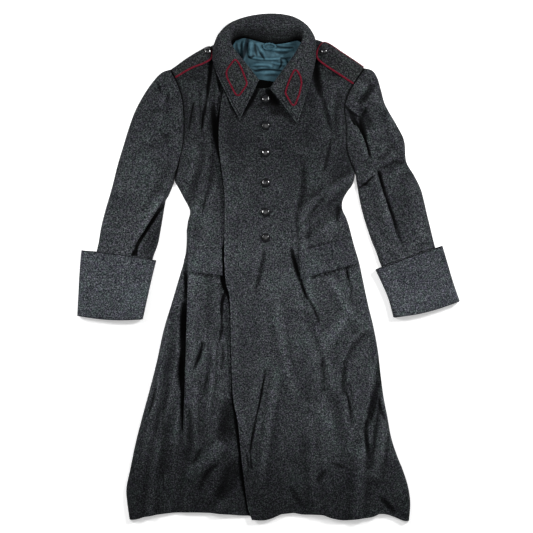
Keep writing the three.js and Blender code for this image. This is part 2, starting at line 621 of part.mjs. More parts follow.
// One front as a grid: four outlines, filled in between, with heights from its own function.
function frontGrid({ side, edge, neckline, shoulder, hem, armpitY, heightAt, columns, sign }) {
  const neck = lineThrough(neckline);
  const top = lineThrough(shoulder);
  const bottom = lineThrough(hem);
  const neckShare = neck.length / (neck.length + top.length);
  const onShoulderAt = (u) => top.at((u - neckShare) / (1 - neckShare));
  const topAt = (u) => (u < neckShare ? neck.at(u / neckShare) : onShoulderAt(u));
  const first = (rows) => rows[0];
  const lastOf = (rows) => rows[rows.length - 1];
  const edgeAt = (v) => {
    const y = mix(first(edge).y, lastOf(edge).y, v);
    return { x: readAt(edge, 'y', 'x', y), y };
  };
  const sideAt = (v) => {
    const y = mix(first(side).y, lastOf(side).y, v);
    return { x: readAt(side, 'y', 'x', y) - sign * HALF * belowArmpit(y, armpitY), y };
  };
  const corners = [edgeAt(0), sideAt(0), edgeAt(1), sideAt(1)];
  const fill = (u, v, key) => mix(topAt(u)[key], bottom.at(u)[key], v)
    + mix(edgeAt(v)[key], sideAt(v)[key], u)
    - mix(mix(corners[0][key], corners[1][key], u), mix(corners[2][key], corners[3][key], u), v);
  const height = Math.abs(first(side).y - lastOf(side).y);
  return frontRows(side, armpitY).map((v) => {
    const a = edgeAt(v);
    const b = sideAt(v);
    const width = Math.hypot(b.x - a.x, b.y - a.y);
    return columnShares(columns, width).map((u) => {
      const x = fill(u, v, 'x');
      const y = fill(u, v, 'y');
      const fromSide = (1 - u) * width;
      const closed = belowArmpit(b.y, armpitY);
      const sideRoll = mix(1, rollDown(fromSide, SIDE_ROLL), closed);
      const onShoulder = smooth((u - neckShare) / SHOULDER_TURN);
      const shoulderRoll = mix(1, rollDown(v * height, SIDE_ROLL), onShoulder);
      return new THREE.Vector3(x, y, heightAt(x, y) * sideRoll * shoulderRoll);
    });
  });
}

// Places of a front's sections across one row: even ones, then a close group at the rolled side.
function columnShares(count, width) {
  const inner = 1 - ROLL_START / width;
  const shares = [];
  for (let k = 0; k <= count; k += 1) shares.push(inner * k / count);
  ROLL_SECTIONS.forEach((distance) => shares.push(1 - distance / width));
  return shares;
}

const RIGHT_FRONT = {
  side: RIGHT_SIDE,
  edge: RIGHT_LAP,
  neckline: RIGHT_NECKLINE,
  shoulder: RIGHT_SHOULDER,
  hem: RIGHT_HEM,
  armpitY: RIGHT_ARMPIT_Y,
  heightAt: rightFrontHeight,
  columns: RIGHT_COLUMNS,
  sign: -1,
};
const LEFT_FRONT = {
  side: LEFT_SIDE,
  edge: LEFT_FREE_EDGE,
  neckline: LEFT_NECKLINE,
  shoulder: LEFT_SHOULDER,
  hem: LEFT_HEM,
  armpitY: LEFT_ARMPIT_Y,
  heightAt: leftFrontHeight,
  columns: LEFT_COLUMNS,
  sign: 1,
};

const rightGrid = frontGrid(RIGHT_FRONT);
const leftGrid = frontGrid(LEFT_FRONT);

function addFronts() {
  const options = (grid) => ({ floorColumns: [grid[0].length - 1], floorRow: 0 });
  addPiece('front_right', wallGeometry(rightGrid, MELTON, options(rightGrid)), COLOURS.wool);
  addPiece('front_left', wallGeometry(leftGrid, MELTON, options(leftGrid)), COLOURS.wool);
}

// Moves the points of a closed outline inwards by a distance.
function inset(points, distance) {
  const area = points.reduce((sum, p, k) => {
    const q = points[(k + 1) % points.length];
    return sum + p.x * q.y - q.x * p.y;
  }, 0);
  const turn = area > 0 ? 1 : -1;
  return points.map((p, k) => {
    const before = points[(k + points.length - 1) % points.length];
    const after = points[(k + 1) % points.length];
    const inA = new THREE.Vector2(before.y - p.y, p.x - before.x).normalize();
    const inB = new THREE.Vector2(p.y - after.y, after.x - p.x).normalize();
    const bisector = inA.clone().add(inB).normalize();
    const scale = turn * distance / Math.max(STEEPEST, bisector.dot(inA));
    return new THREE.Vector2(p.x + bisector.x * scale, p.y + bisector.y * scale);
  });
}

// Side points of the back, at the same levels as the fronts' sections.
function backSide(side, armpitY) {
  const top = side[0].y;
  const levels = ARMHOLE_COARSE.map((step) => mix(top, armpitY, step));
  const bottom = side[side.length - 1].y;
  for (let k = 1; k <= SKIRT_ROWS; k += 1) levels.push(mix(armpitY, bottom, k / SKIRT_ROWS));
  return levels.map((y) => ({ x: readAt(side, 'y', 'x', y), y }));
}

function addBack() {
  const right = backSide(RIGHT_SIDE, RIGHT_ARMPIT_Y);
  const left = backSide(LEFT_SIDE, LEFT_ARMPIT_Y);
  const leftHem = LEFT_HEM.slice(0, -1).reverse().filter((p) => p.x > HEM_MEET_X);
  const rightHem = RIGHT_HEM.slice(2, -1);
  const neck = LINING_TOP.map((p) => ({ x: p.x * NECK_WIDER, y: p.y + NECK_ABOVE }));
  const rightShoulder = RIGHT_SHOULDER.slice(0, -1).reverse();
  const leftShoulder = LEFT_SHOULDER.slice(1, -1);
  const below = [...left, ...leftHem, ...rightHem, ...right.reverse()];
  const outline = [...below, ...rightShoulder, ...neck, ...leftShoulder];
  const shape = new THREE.Shape(inset(outline, BACK_INSET));
  const slab = new THREE.ExtrudeGeometry(shape, { depth: MELTON, bevelEnabled: false });
  addPiece('back', slab, COLOURS.wool);
}

// One wall of a sleeve: sections between its two edges, the first one on the armhole seam.
function sleeveGrid({ sections, side, armpitY, frontHeight, heightAt, sign, shares, upper }) {
  const top = side[0].y;
  const first = sections[0];
  const armholeAt = (step) => {
    const y = mix(top, armpitY, step);
    return { x: readAt(side, 'y', 'x', y), y };
  };
  return sections.map((section, i) => {
    const width = Math.hypot(section.outerX - section.innerX, section.outerY - section.innerY);
    const blend = SEAM_BLEND[i] ?? 0;
    const follow = Math.max(0, 1 - i / BOW_SECTIONS);
    const enter = smooth((i - (sections.length - CUFFED_SECTIONS)) / EASE_SECTIONS);
    const base = SLEEVE_STEP * enter;
    const acrossX = (section.innerX - section.outerX) / width;
    const acrossY = (section.innerY - section.outerY) / width;
    return shares.map((share) => {
      const armhole = armholeAt(share);
      const bowX = armhole.x - mix(first.outerX, first.innerX, share);
      const bowY = armhole.y - mix(first.outerY, first.innerY, share);
      const bow = smooth(follow);
      const insetUpper = HALF * smooth(i / EASE_SECTIONS) + CUFF_SQUEEZE * enter;
      const insetUnder = SLEEVE_UNDER_INSET + CUFF_SQUEEZE * enter;
      const armpitInset = upper ? 0 : ARMPIT_CLEAR * blend * share * share;
      const edgeInset = (upper ? insetUpper : insetUnder) * (1 - 2 * share) - armpitInset;
      const low = 1 - smooth((armhole.y - armpitY) / (upper ? ARMPIT_TURN : UNDER_TURN));
      const upperNudge = SEAM + SEAM_LEAN + (HALF + ARMPIT_GAP) * low;
      const underNudge = mix(SEAM - BACK_INSET, SLEEVE_UNDER_INSET + 2 * ARMPIT_GAP, low);
      const nudge = i === 0 ? sign * (upper ? upperNudge : underNudge) : 0;
      const x = mix(section.outerX, section.innerX, share) + bow * bowX + acrossX * edgeInset + nudge;
      const y = mix(section.outerY, section.innerY, share) + bow * bowY + acrossY * edgeInset;
      if (!upper) return new THREE.Vector3(x, y, HALF + base);
      const outerRoll = rollDown(share * width, SIDE_ROLL);
      const innerRoll = rollDown((1 - share) * width, SIDE_ROLL);
      const crown = mix(heightAt(x, y), SLEEVE_AT_CUFF, enter);
      const own = base + (crown - base) * outerRoll * innerRoll;
      const armholeRoll = rollDown(share * (top - armpitY), SIDE_ROLL) * (1 - low);
      const seamHeight = frontHeight(armhole.x, armhole.y) * armholeRoll;
      return new THREE.Vector3(x, y, mix(own, seamHeight, blend));
    });
  });
}

function addSleeves() {
  const sleeves = [
    { name: 'right', sections: RIGHT_SLEEVE, side: RIGHT_SIDE, armpitY: RIGHT_ARMPIT_Y,
      frontHeight: rightFrontHeight, heightAt: rightSleeveHeight, sign: -1 },
    { name: 'left', sections: LEFT_SLEEVE, side: LEFT_SIDE, armpitY: LEFT_ARMPIT_Y,
      frontHeight: leftFrontHeight, heightAt: leftSleeveHeight, sign: 1 },
  ];
  for (const sleeve of sleeves) {
    const upper = sleeveGrid({ ...sleeve, shares: ARMHOLE_STEPS, upper: true });
    const under = sleeveGrid({ ...sleeve, shares: ARMHOLE_COARSE, upper: false });
    const floorColumns = [0, upper[0].length - 1];
    addPiece(`sleeve_upper_${sleeve.name}`, wallGeometry(upper, MELTON, { floorColumns }), COLOURS.wool);
    addPiece(`sleeve_under_${sleeve.name}`, wallGeometry(under, MELTON), COLOURS.wool);
  }
}

// One section of a cuff, all round: flat below, round at the sides, crowned above.
function cuffRing({ outerX, outerY, innerX, innerY, height, bow }, shrink) {
  const width = Math.hypot(outerX - innerX, outerY - innerY);
  const top = height - HALF - shrink;
  const bottom = HALF + shrink;
  const middle = (top + bottom) / 2;
  const rise = (top - bottom) / 2;
  const edge = HALF + shrink;
  const points = [];
  const put = (distance, z, sag) => {
    const share = distance / width;
    const x = mix(outerX, innerX, share);
    const y = mix(outerY, innerY, share) - sag;
    points.push(new THREE.Vector3(x, y, z));
  };
  const nearSide = edge + CUFF_SIDE_RADIUS;
  const farSide = width - edge - CUFF_SIDE_RADIUS;
  for (let k = 0; k < CUFF_BOTTOM_POINTS; k += 1) {
    const t = k / (CUFF_BOTTOM_POINTS - 1);
    put(mix(nearSide, farSide, t), bottom, bow * Math.sin(Math.PI * t));
  }
  for (const angle of CUFF_SIDE_ANGLES) {
    const turn = angle * Math.PI / 180;
    put(farSide + CUFF_SIDE_RADIUS * Math.sin(turn), middle - rise * Math.cos(turn), 0);
  }
  for (let k = 0; k < CUFF_TOP_POINTS; k += 1) {
    const t = k / (CUFF_TOP_POINTS - 1);
    put(mix(farSide, nearSide, t), top, bow * Math.sin(Math.PI * t));
  }
  for (const angle of CUFF_SIDE_ANGLES) {
    const turn = angle * Math.PI / 180;
    put(nearSide - CUFF_SIDE_RADIUS * Math.sin(turn), middle + rise * Math.cos(turn), 0);
  }
  return points;
}

function addCuffs() {
  for (const [name, sections] of [['right', RIGHT_CUFF], ['left', LEFT_CUFF]]) {
    const rings = sections.map((section) => cuffRing(section, 0));
    rings.push(cuffRing(sections[sections.length - 1], CUFF_LIP));
    addPiece(`cuff_${name}`, wallGeometry(rings, MELTON, { around: true }), COLOURS.woolLight);
  }
}

// The top of whichever front lies under a point.
function frontTop(x, y, reach) {
  return highestTop([leftGrid, rightGrid], HALF, x, y, reach);
}

// One section of the collar, from the foot of its stand over the roll to the edge of its fall.
function collarCurve(share) {
  const columns = Object.keys(COLLAR[0]);
  const marked = COLLAR.map((row, k) => ({ ...row, at: k / (COLLAR.length - 1) }));
  const span = Math.min(COLLAR.length - 2, Math.floor(share * (COLLAR.length - 1)));
  const values = cubicSpan(marked, span, 'at', columns, share * (COLLAR.length - 1) - span);
  const points = [];
  for (let k = 0; k < values.length; k += 3) points.push(new THREE.Vector3(...values.slice(k, k + 3)));
  const curve = new THREE.CatmullRomCurve3(points, false, 'centripetal');
  const fine = curve.getSpacedPoints(COLLAR_FINE_STEPS);
  for (let pass = 0; pass < COLLAR_EVENINGS; pass += 1) {
    for (let k = 1; k < fine.length - 1; k += 1) {
      fine[k].lerp(fine[k - 1].clone().add(fine[k + 1]).multiplyScalar(0.5), 0.5);
    }
  }
  const { from, to, turn } = COLLAR_ON_BACK;
  const overFront = smooth(Math.max(from - share, share - to) / turn);
  fine.forEach((point) => {
    const lowest = frontTop(point.x, point.y, COLLAR_REACH) + COLLAR_CLOTH / 2 + COLLAR_CLEARANCE;
    point.z = mix(point.z, Math.max(point.z, lowest), overFront);
  });
  return fine;
}

const collarGrid = [];

function addCollar() {
  const grid = collarGrid;
  for (let k = 0; k < COLLAR_SECTIONS; k += 1) {
    const fine = collarCurve(k / (COLLAR_SECTIONS - 1));
    grid.push(COLLAR_STEPS.map((step) => fine[Math.round(step * COLLAR_FINE_STEPS)]));
  }
  addPiece('collar', wallGeometry(grid, COLLAR_CLOTH), COLOURS.wool);
}

// A patch of cloth between two chains of points seen from above, laid at heights of its own.
function patchGrid({ first, second, heightAt, rows, columns }) {
  const a = lineThrough(first);
  const b = lineThrough(second);
  const grid = [];
  for (let i = 0; i < rows; i += 1) {
    const start = a.at(i / (rows - 1));
    const end = b.at(i / (rows - 1));
    const line = [];
    for (let j = 0; j < columns; j += 1) {
      const x = mix(start.x, end.x, j / (columns - 1));
      const y = mix(start.y, end.y, j / (columns - 1));
      line.push(new THREE.Vector3(x, y, heightAt(x, y)));
    }
    grid.push(line);
  }
  return grid;
}

// A round cord through points, closed on itself or with flat ends.
function cordGeometry(points, radius, closed) {
  const positions = [];
  const index = [];
  const count = points.length;
  const up = new THREE.Vector3(0, 0, 1);
  points.forEach((point, k) => {
    const before = points[closed ? (k + count - 1) % count : Math.max(0, k - 1)];
    const after = points[closed ? (k + 1) % count : Math.min(count - 1, k + 1)];
    const tangent = new THREE.Vector3().subVectors(after, before).normalize();
    const across = new THREE.Vector3().crossVectors(up, tangent).normalize();
    const rise = new THREE.Vector3().crossVectors(tangent, across);
    for (let j = 0; j < CORD_SIDES; j += 1) {
      const turn = 2 * Math.PI * j / CORD_SIDES;
      const spot = point.clone()
        .addScaledVector(across, radius * Math.cos(turn))
        .addScaledVector(rise, radius * Math.sin(turn));
      positions.push(spot.x, spot.y, spot.z);
    }
  });
  const at = (k, j) => (k % count) * CORD_SIDES + (j % CORD_SIDES);
  for (let k = 0; k < (closed ? count : count - 1); k += 1) {
    for (let j = 0; j < CORD_SIDES; j += 1) {
      index.push(at(k, j), at(k + 1, j), at(k + 1, j + 1), at(k, j), at(k + 1, j + 1), at(k, j + 1));
    }
  }
  if (!closed) {
    for (let j = 1; j < CORD_SIDES - 1; j += 1) {
      index.push(at(0, 0), at(0, j), at(0, j + 1));
      index.push(at(count - 1, 0), at(count - 1, j + 1), at(count - 1, j));
    }
  }
  return closedGeometry(positions, index);
}

// A plain domed button on its shank, standing on the cloth under it.
function addButton(name, x, y, topAt, radius, height) {
  const profile = BUTTON_PROFILE.map(([r, z]) => new THREE.Vector2(r * radius, z * height));
  const dome = new THREE.LatheGeometry(profile, BUTTON_SIDES);
  dome.rotateX(Math.PI / 2);
  dome.translate(x, y, topAt(x, y) + SEAM);
  addPiece(name, dome, COLOURS.button, 0.25);
}

function addButtons() {
  const leftTop = (x, y) => highestTop([leftGrid], HALF, x, y, BUTTON_RADIUS * BUTTON_REST);
  FRONT_BUTTON_YS.forEach((y, k) => {
    addButton(`front_button_${k + 1}`, BUTTON_LINE_X, y, leftTop, BUTTON_RADIUS, BUTTON_HEIGHT);
  });
  const boards = [['right', BOARD_BUTTON_RIGHT], ['left', BOARD_BUTTON_LEFT]];
  for (const [name, { x, y }] of boards) {
    const reach = BOARD_BUTTON_RADIUS * BUTTON_REST;
    const top = (px, py) => highestTop([boardGrids[name]], BOARD_CLOTH / 2, px, py, reach);
    addButton(`board_button_${name}`, x, y, top, BOARD_BUTTON_RADIUS, BOARD_BUTTON_HEIGHT);
  }
}

// Shoulder boards lie on the fronts, with a piping cord round the three loose sides.
function boardHeight(front, x, y) {
  return highestTop([front], HALF, x, y, BOARD_REACH) + SEAM + BOARD_CLEARANCE + BOARD_CLOTH / 2;
}

const boardGrids = {};

function addBoards() {
  const boards = [
    { name: 'right', outline: RIGHT_BOARD, front: rightGrid },
    { name: 'left', outline: LEFT_BOARD, front: leftGrid },
  ];
  for (const { name, outline, front } of boards) {
    const laid = (x, y) => boardHeight(front, x, y);
    const grid = patchGrid({
      first: outline.upper, second: outline.lower, heightAt: laid, rows: BOARD_ROWS, columns: TRIM_COLUMNS,
    });
    boardGrids[name] = grid;
    addPiece(`shoulder_board_${name}`, wallGeometry(grid, BOARD_CLOTH), COLOURS.woolGreen);
    const rim = grid.map((row) => row[0]).reverse();
    grid[0].slice(1, -1).forEach((point) => rim.push(point));
    grid.forEach((row) => rim.push(row[row.length - 1]));
    const cord = pushedOut(rim, PIPING_RADIUS + BOARD_CORD_GAP, false);
    addPiece(`board_piping_${name}`, cordGeometry(cord, PIPING_RADIUS, false), COLOURS.crimson);
  }
}

// Moves the points of a rim sideways, away from its middle.
function pushedOut(rim, distance, closed) {
  const count = rim.length;
  const middle = rim.reduce((sum, p) => sum.add(p), new THREE.Vector3()).divideScalar(count);
  return rim.map((point, k) => {
    const before = rim[closed ? (k + count - 1) % count : Math.max(0, k - 1)];
    const after = rim[closed ? (k + 1) % count : Math.min(count - 1, k + 1)];
    const side = new THREE.Vector3(after.y - before.y, before.x - after.x, 0).normalize();
    const away = side.dot(new THREE.Vector3().subVectors(point, middle)) > 0 ? 1 : -1;
    return point.clone().addScaledVector(side, away * distance);
  });
}

function collarTop(x, y) {
  return highestTop([collarGrid], COLLAR_CLOTH / 2, x, y, TAB_REACH);
}

function addTabs() {
  for (const [name, outline] of [['right', RIGHT_TAB], ['left', LEFT_TAB]]) {
    const laid = (x, y) => collarTop(x, y) + TAB_CLEARANCE + TAB_CLOTH / 2;
    const grid = patchGrid({
      first: outline.outer, second: outline.inner, heightAt: laid, rows: TAB_ROWS, columns: TRIM_COLUMNS,
    });
    addPiece(`collar_tab_${name}`, wallGeometry(grid, TAB_CLOTH), COLOURS.woolGreen);
    const rim = grid.map((row) => row[0]).reverse();
    grid.forEach((row) => rim.push(row[row.length - 1]));
    const cord = pushedOut(rim, PIPING_RADIUS + TAB_CORD_GAP, true);
    cord.forEach((point) => {
      point.z = collarTop(point.x, point.y) + TAB_CLEARANCE + PIPING_RADIUS;
    });
    addPiece(`tab_piping_${name}`, cordGeometry(cord, PIPING_RADIUS, true), COLOURS.crimson);
  }
}

function addFlaps() {
  const flaps = [
    { name: 'right', corners: RIGHT_FLAP, front: rightGrid },
    { name: 'left', corners: LEFT_FLAP, front: leftGrid },
  ];
  for (const { name, corners, front } of flaps) {
    const line = (a, b) => [{ x: a[0], y: a[1] }, { x: b[0], y: b[1] }];
    const laid = (x, y) => highestTop([front], HALF, x, y, FLAP_REACH) + HALF + SEAM + FLAP_LIFT;
    const grid = patchGrid({
      first: line(corners.topIn, corners.topOut),
      second: line(corners.lowIn, corners.lowOut),
      heightAt: laid,
      rows: FLAP_COLUMNS,
      columns: FLAP_ROWS,
    });
    addPiece(`pocket_flap_${name}`, wallGeometry(grid, MELTON), COLOURS.wool);
  }
}

// The cotton lining of the back where the open neck shows it, with its hanger loop.
function liningHeight(x, y) {
  const { fromY, toY, easeIn, easeOut, loft } = LINING_SHOWN;
  const shown = smooth((y - fromY) / easeIn) * smooth((toY - y) / easeOut);
  const base = BACK_TOP + SEAM + LINING_CLOTH / 2;
  return base + shown * Math.max(0, loft + foldHeight(LINING_FOLDS, x, y));
}

function addLining() {
  const grid = patchGrid({
    first: LINING_RIGHT,
    second: LINING_LEFT,
    heightAt: liningHeight,
    rows: LINING_ROWS,
    columns: LINING_COLUMNS,
  });
  const top = LINING_RIGHT[0].y;
  grid.forEach((row) => row.forEach((point) => {
    const share = (point.y - LINING_FOOT_Y) / (top - LINING_FOOT_Y);
    point.y += share * share * (readAt(LINING_TOP, 'x', 'y', point.x) - top);
  }));
  addPiece('back_lining', wallGeometry(grid, LINING_CLOTH), COLOURS.lining);
  const path = lineThrough(LOOP_PATH);
  const lift = LINING_CLOTH / 2 + LOOP_RADIUS + LOOP_GAP;
  const points = [];
  for (let k = 0; k <= LOOP_STEPS; k += 1) {
    const { x, y } = path.at(k / LOOP_STEPS);
    points.push(new THREE.Vector3(x, y, liningHeight(x, y) + lift));
  }
  addPiece('hanger_loop', cordGeometry(points, LOOP_RADIUS, false), COLOURS.lining);
}

addBack();
addLining();
addFronts();
addSleeves();
addCuffs();
addFlaps();
addCollar();
addTabs();
addBoards();
addButtons();

export default coat;
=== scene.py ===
"""A long wool greatcoat, buttoned and laid flat on its back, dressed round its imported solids.

The coat lies on z = 0 with its collar towards +Y. "Right" and "left" are the wearer's: the
wearer's right is at -X, and the left front lies on top. Shapes are worked out in millimetres
and turned to metres where a mesh is made.
"""

import logging
import math
from dataclasses import dataclass, field
from enum import Enum

import bpy
import numpy as np
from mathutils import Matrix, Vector


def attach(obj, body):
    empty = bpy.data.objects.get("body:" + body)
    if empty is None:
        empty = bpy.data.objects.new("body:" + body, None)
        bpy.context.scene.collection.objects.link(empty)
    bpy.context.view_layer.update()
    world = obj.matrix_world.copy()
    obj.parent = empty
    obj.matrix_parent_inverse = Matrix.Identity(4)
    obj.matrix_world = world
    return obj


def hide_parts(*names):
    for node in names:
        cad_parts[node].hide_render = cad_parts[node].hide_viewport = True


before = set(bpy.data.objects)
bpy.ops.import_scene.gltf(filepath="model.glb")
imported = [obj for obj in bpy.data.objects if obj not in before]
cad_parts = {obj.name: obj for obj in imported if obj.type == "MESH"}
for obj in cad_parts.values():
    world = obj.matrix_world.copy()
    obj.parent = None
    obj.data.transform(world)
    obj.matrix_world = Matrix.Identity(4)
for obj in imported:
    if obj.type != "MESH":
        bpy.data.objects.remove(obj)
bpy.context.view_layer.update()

LOG = logging.getLogger("greatcoat")
MM = 0.001
Array = np.ndarray
Tree = bpy.types.NodeTree
Socket = bpy.types.NodeSocket

# Cloth walls and the heights of their middles above the floor, as in the solids
MELTON = 2.8
COLLAR_CLOTH = 3.0
LINING_CLOTH = 1.0
TAB_CLOTH = 1.6
BOARD_CLOTH = 3.2
SEAM = 0.3
HALF = MELTON / 2
UNDER_REST = MELTON + SEAM + HALF
OVER_REST = UNDER_REST + MELTON + SEAM
SIDE_ROLL = 11.0
BACK_INSET = MELTON + SEAM + 2.2
ARMPIT_TURN = 45.0

# How deep the armhole seam draws the cloth in, and how dark the painted shade in its groove is
SEAM_DIP = 3.2
SEAM_DARK = 0.85

# Painted shade of flat cloth: painted highlights take ridges down to 0, painted shade takes creases up to 1
NEUTRAL = 0.15

# Chords that stand for a bent path, and the length below which a vector has no direction
CHORDS = 12
TINY = 1e-9
UP = (0.0, 0.0, 1.0)

# How far and how thin the domed ends of a cord go, in its radii
DOME_REACH = 0.6
DOME_TIP = 0.15


def table(columns: str, rows: list) -> dict[str, Array]:
    """Turns rows of numbers into one array for each named column.

    Args:
        columns: the column names, with spaces between.
        rows: the rows of numbers.

    Returns:
        An array of each column's numbers, by name.
    """
    return dict(zip(columns.split(), np.array(rows, float).T))


# Outline of the right front, which lies below: side, hidden lap, neck, shoulder and hem
RIGHT_SIDE = table("y x", [
    (485, -239), (451, -222), (407, -209), (358, -206), (301, -209), (257, -221), (216, -230),
    (198, -221), (172, -207), (140, -192), (113, -197), (76, -202), (15, -207), (-20, -217),
    (-78, -234), (-152, -256), (-230, -273), (-294, -289), (-368, -309), (-431, -325),
    (-495, -338), (-541, -347), (-581, -344), (-615, -339),
])
RIGHT_LAP = table("y x", [(451, 48), (44, 53), (-323, 58), (-598, 67)])
RIGHT_NECKLINE = table("x y", [
    (48, 451), (-6, 458), (-50, 468), (-85, 495), (-109, 527), (-125, 546),
])
RIGHT_SHOULDER = table("x y", [(-125, 546), (-141, 541), (-168, 528), (-205, 507), (-239, 485)])
RIGHT_HEM = table("x y", [
    (67, -598), (4, -604), (-55, -605), (-99, -602), (-143, -598), (-202, -597), (-246, -599),
    (-300, -607), (-320, -613), (-339, -615),
])

# Outline of the left front, which lies on top
LEFT_SIDE = table("y x", [
    (488, 234), (456, 212), (424, 194), (392, 186), (350, 190), (294, 192), (265, 200),
    (235, 211), (206, 206), (186, 192), (164, 181), (142, 181), (123, 190), (98, 198), (59, 208),
    (15, 221), (-22, 229), (-56, 236), (-93, 244), (-142, 256), (-201, 267), (-262, 274),
    (-316, 281), (-363, 290), (-417, 300), (-463, 315), (-495, 328), (-537, 341), (-576, 346),
    (-618, 343),
])
LEFT_FREE_EDGE = table("y x", [
    (439, -108), (402, -115), (350, -120), (294, -120), (235, -113), (184, -107), (69, -107),
    (15, -107), (-37, -103), (-66, -95), (-120, -92), (-189, -91), (-274, -88), (-323, -85),
    (-372, -75), (-458, -66), (-502, -61), (-589, -49), (-615, -40),
])
LEFT_NECKLINE = table("x y", [
    (-108, 439), (-50, 438), (2, 441), (23, 461), (48, 492), (75, 529), (109, 555),
])
LEFT_SHOULDER = table("x y", [
    (109, 555), (119, 555), (151, 543), (187, 519), (214, 502), (234, 488),
])
LEFT_HEM = table("x y", [
    (-40, -615), (-11, -616), (9, -611), (33, -601), (58, -598), (85, -602), (131, -603),
    (156, -611), (185, -616), (224, -612), (251, -609), (263, -605), (271, -601), (290, -602),
    (310, -609), (330, -617), (343, -618),
])

# Soft ridges (height above 0) and troughs (below 0), each along a path bent by three points.
# "left" and "right" are the widths of their two slopes, seen along the path.
FOLD_COLUMNS = "x0 y0 x1 y1 x2 y2 left right height"
RIGHT_FOLDS = table(FOLD_COLUMNS, [
    (-225, 500, -185, 520, -120, 552, 46, 46, 7),
    (-190, 460, -180, 330, -190, 200, 46, 40, 6),
    (-141, 575, -141, 440, -130, 270, 13, 12, -8),
    (-124, 500, -124, 430, -131, 360, 9, 9, 4),
    (-192, 440, -194, 390, -190, 320, 8, 8, 3),
    (-175, 430, -176, 385, -172, 325, 8, 7, 3),
    (-157, 440, -158, 390, -155, 330, 8, 7, 3),
    (-152, 310, -170, 235, -198, 140, 14, 20, -4),
    (-150, 210, -150, 120, -160, 20, 30, 34, 4),
    (-112, -20, -110, -90, -106, -170, 12, 12, -5),
    (-156, -180, -166, -210, -182, -250, 9, 12, -4),
    (-250, -120, -285, -330, -318, -560, 20, 22, 4),
    (-140, -240, -130, -420, -120, -640, 34, 40, 5),
    (-196, -330, -216, -470, -232, -640, 26, 20, -4),
    (-268, -420, -286, -520, -292, -640, 18, 22, 5),
    (-242, -120, -262, -260, -290, -420, 13, 15, 5),
    (-228, -150, -236, -250, -258, -360, 11, 11, -4),
    (-190, -160, -168, -200, -200, -268, 8, 10, 5),
    (-132, -170, -134, -280, -152, -380, 9, 9, 4),
    (-176, -280, -188, -360, -176, -450, 14, 14, 4),
    (-104, -430, -160, -470, -196, -520, 26, 26, 5),
    (-70, -500, -110, -540, -150, -600, 22, 26, -5),
    (-236, -430, -246, -500, -244, -570, 12, 12, -4),
])
LEFT_FOLDS = table(FOLD_COLUMNS, [
    (105, 556, 165, 530, 232, 490, 46, 46, 7),
    (150, 470, 120, 330, 130, 180, 60, 60, 7),
    (10, 400, 0, 200, 0, 60, 40, 40, 2),
    (175, 440, 163, 380, 160, 300, 16, 16, -4),
    (240, 240, 150, 190, 55, 110, 26, 22, 7),
    (215, 170, 160, 140, 74, 60, 16, 18, -5),
    (64, 140, 56, 50, 86, -90, 14, 9, -7),
    (86, 130, 82, 30, 112, -110, 16, 20, 5),
    (-10, 52, -18, -20, -38, -90, 11, 9, -4),
    (2, -240, -24, -360, -52, -520, 12, 9, -7),
    (24, -250, 0, -380, -24, -560, 18, 20, 4),
    (190, 20, 192, -10, 194, -50, 10, 10, -4),
    (196, -280, 202, -330, 203, -390, 12, 12, -4),
    (272, -250, 262, -350, 244, -500, 22, 20, -8),
    (292, -220, 284, -350, 262, -520, 20, 24, 8),
    (276, -330, 282, -360, 288, -400, 8, 8, -3),
    (120, -140, 130, -360, 150, -650, 50, 50, 6),
    (60, -460, 66, -560, 72, -650, 24, 24, -4),
    (230, -440, 224, -540, 214, -650, 24, 26, 5),
    (210, -90, 150, -170, 60, -300, 26, 30, 3),
    (250, -140, 200, -180, 176, -250, 20, 18, 3),
    (90, -110, 128, -200, 150, -330, 16, 18, -4),
    (20, -60, 30, -200, 66, -330, 24, 24, 4),
    (-30, -120, -36, -240, -62, -330, 16, 16, -3),
    (160, -300, 182, -420, 196, -540, 20, 24, -2.5),
    (100, -360, 104, -480, 116, -620, 22, 24, 4),
    (150, -20, 180, -90, 230, -150, 20, 22, 4),
])
RIGHT_SLEEVE_FOLDS = table(FOLD_COLUMNS, [
    (-330, 330, -350, 250, -372, 150, 20, 26, 3),
    (-232, 330, -262, 300, -318, 290, 22, 20, -3),
    (-240, 440, -262, 400, -272, 340, 20, 24, 3),
])
LEFT_SLEEVE_FOLDS = table(FOLD_COLUMNS, [
    (200, 460, 250, 440, 282, 380, 20, 22, 4),
    (330, 268, 300, 246, 270, 220, 18, 22, -2.4),
    (296, 380, 300, 320, 330, 280, 16, 18, 4),
    (300, 300, 290, 270, 262, 262, 14, 12, -3),
    (216, 210, 236, 206, 250, 196, 6, 8, -3),
    (350, 220, 360, 150, 380, 60, 28, 32, 7),
])

# Lapped folds: cloth that turns over a crest and back under it. The crest stands to the right
# of its path; "reach" is its slope there and "drop" the turned part to the left of the path.
# The share "dark" is the painted shade under the crest
LAP_COLUMNS = "x0 y0 x1 y1 x2 y2 reach drop height lean dark"
RIGHT_FRONT_LAPS = table(LAP_COLUMNS, [
    (-216, -470, -190, -150, -200, 90, 60, 22, 15, 9, 0.45),
])

RIGHT_SLEEVE_LAPS = table(LAP_COLUMNS, [
    (-248, 176, -296, 112, -352, 8, 60, 16, 10, 6, 0.55),
])
LEFT_SLEEVE_LAPS = table(LAP_COLUMNS, [
    (182, 400, 230, 334, 248, 264, 26, 15, 9, 6, 1),
    (262, 250, 282, 150, 340, 20, 30, 18, 9, 6, 0.7),
])
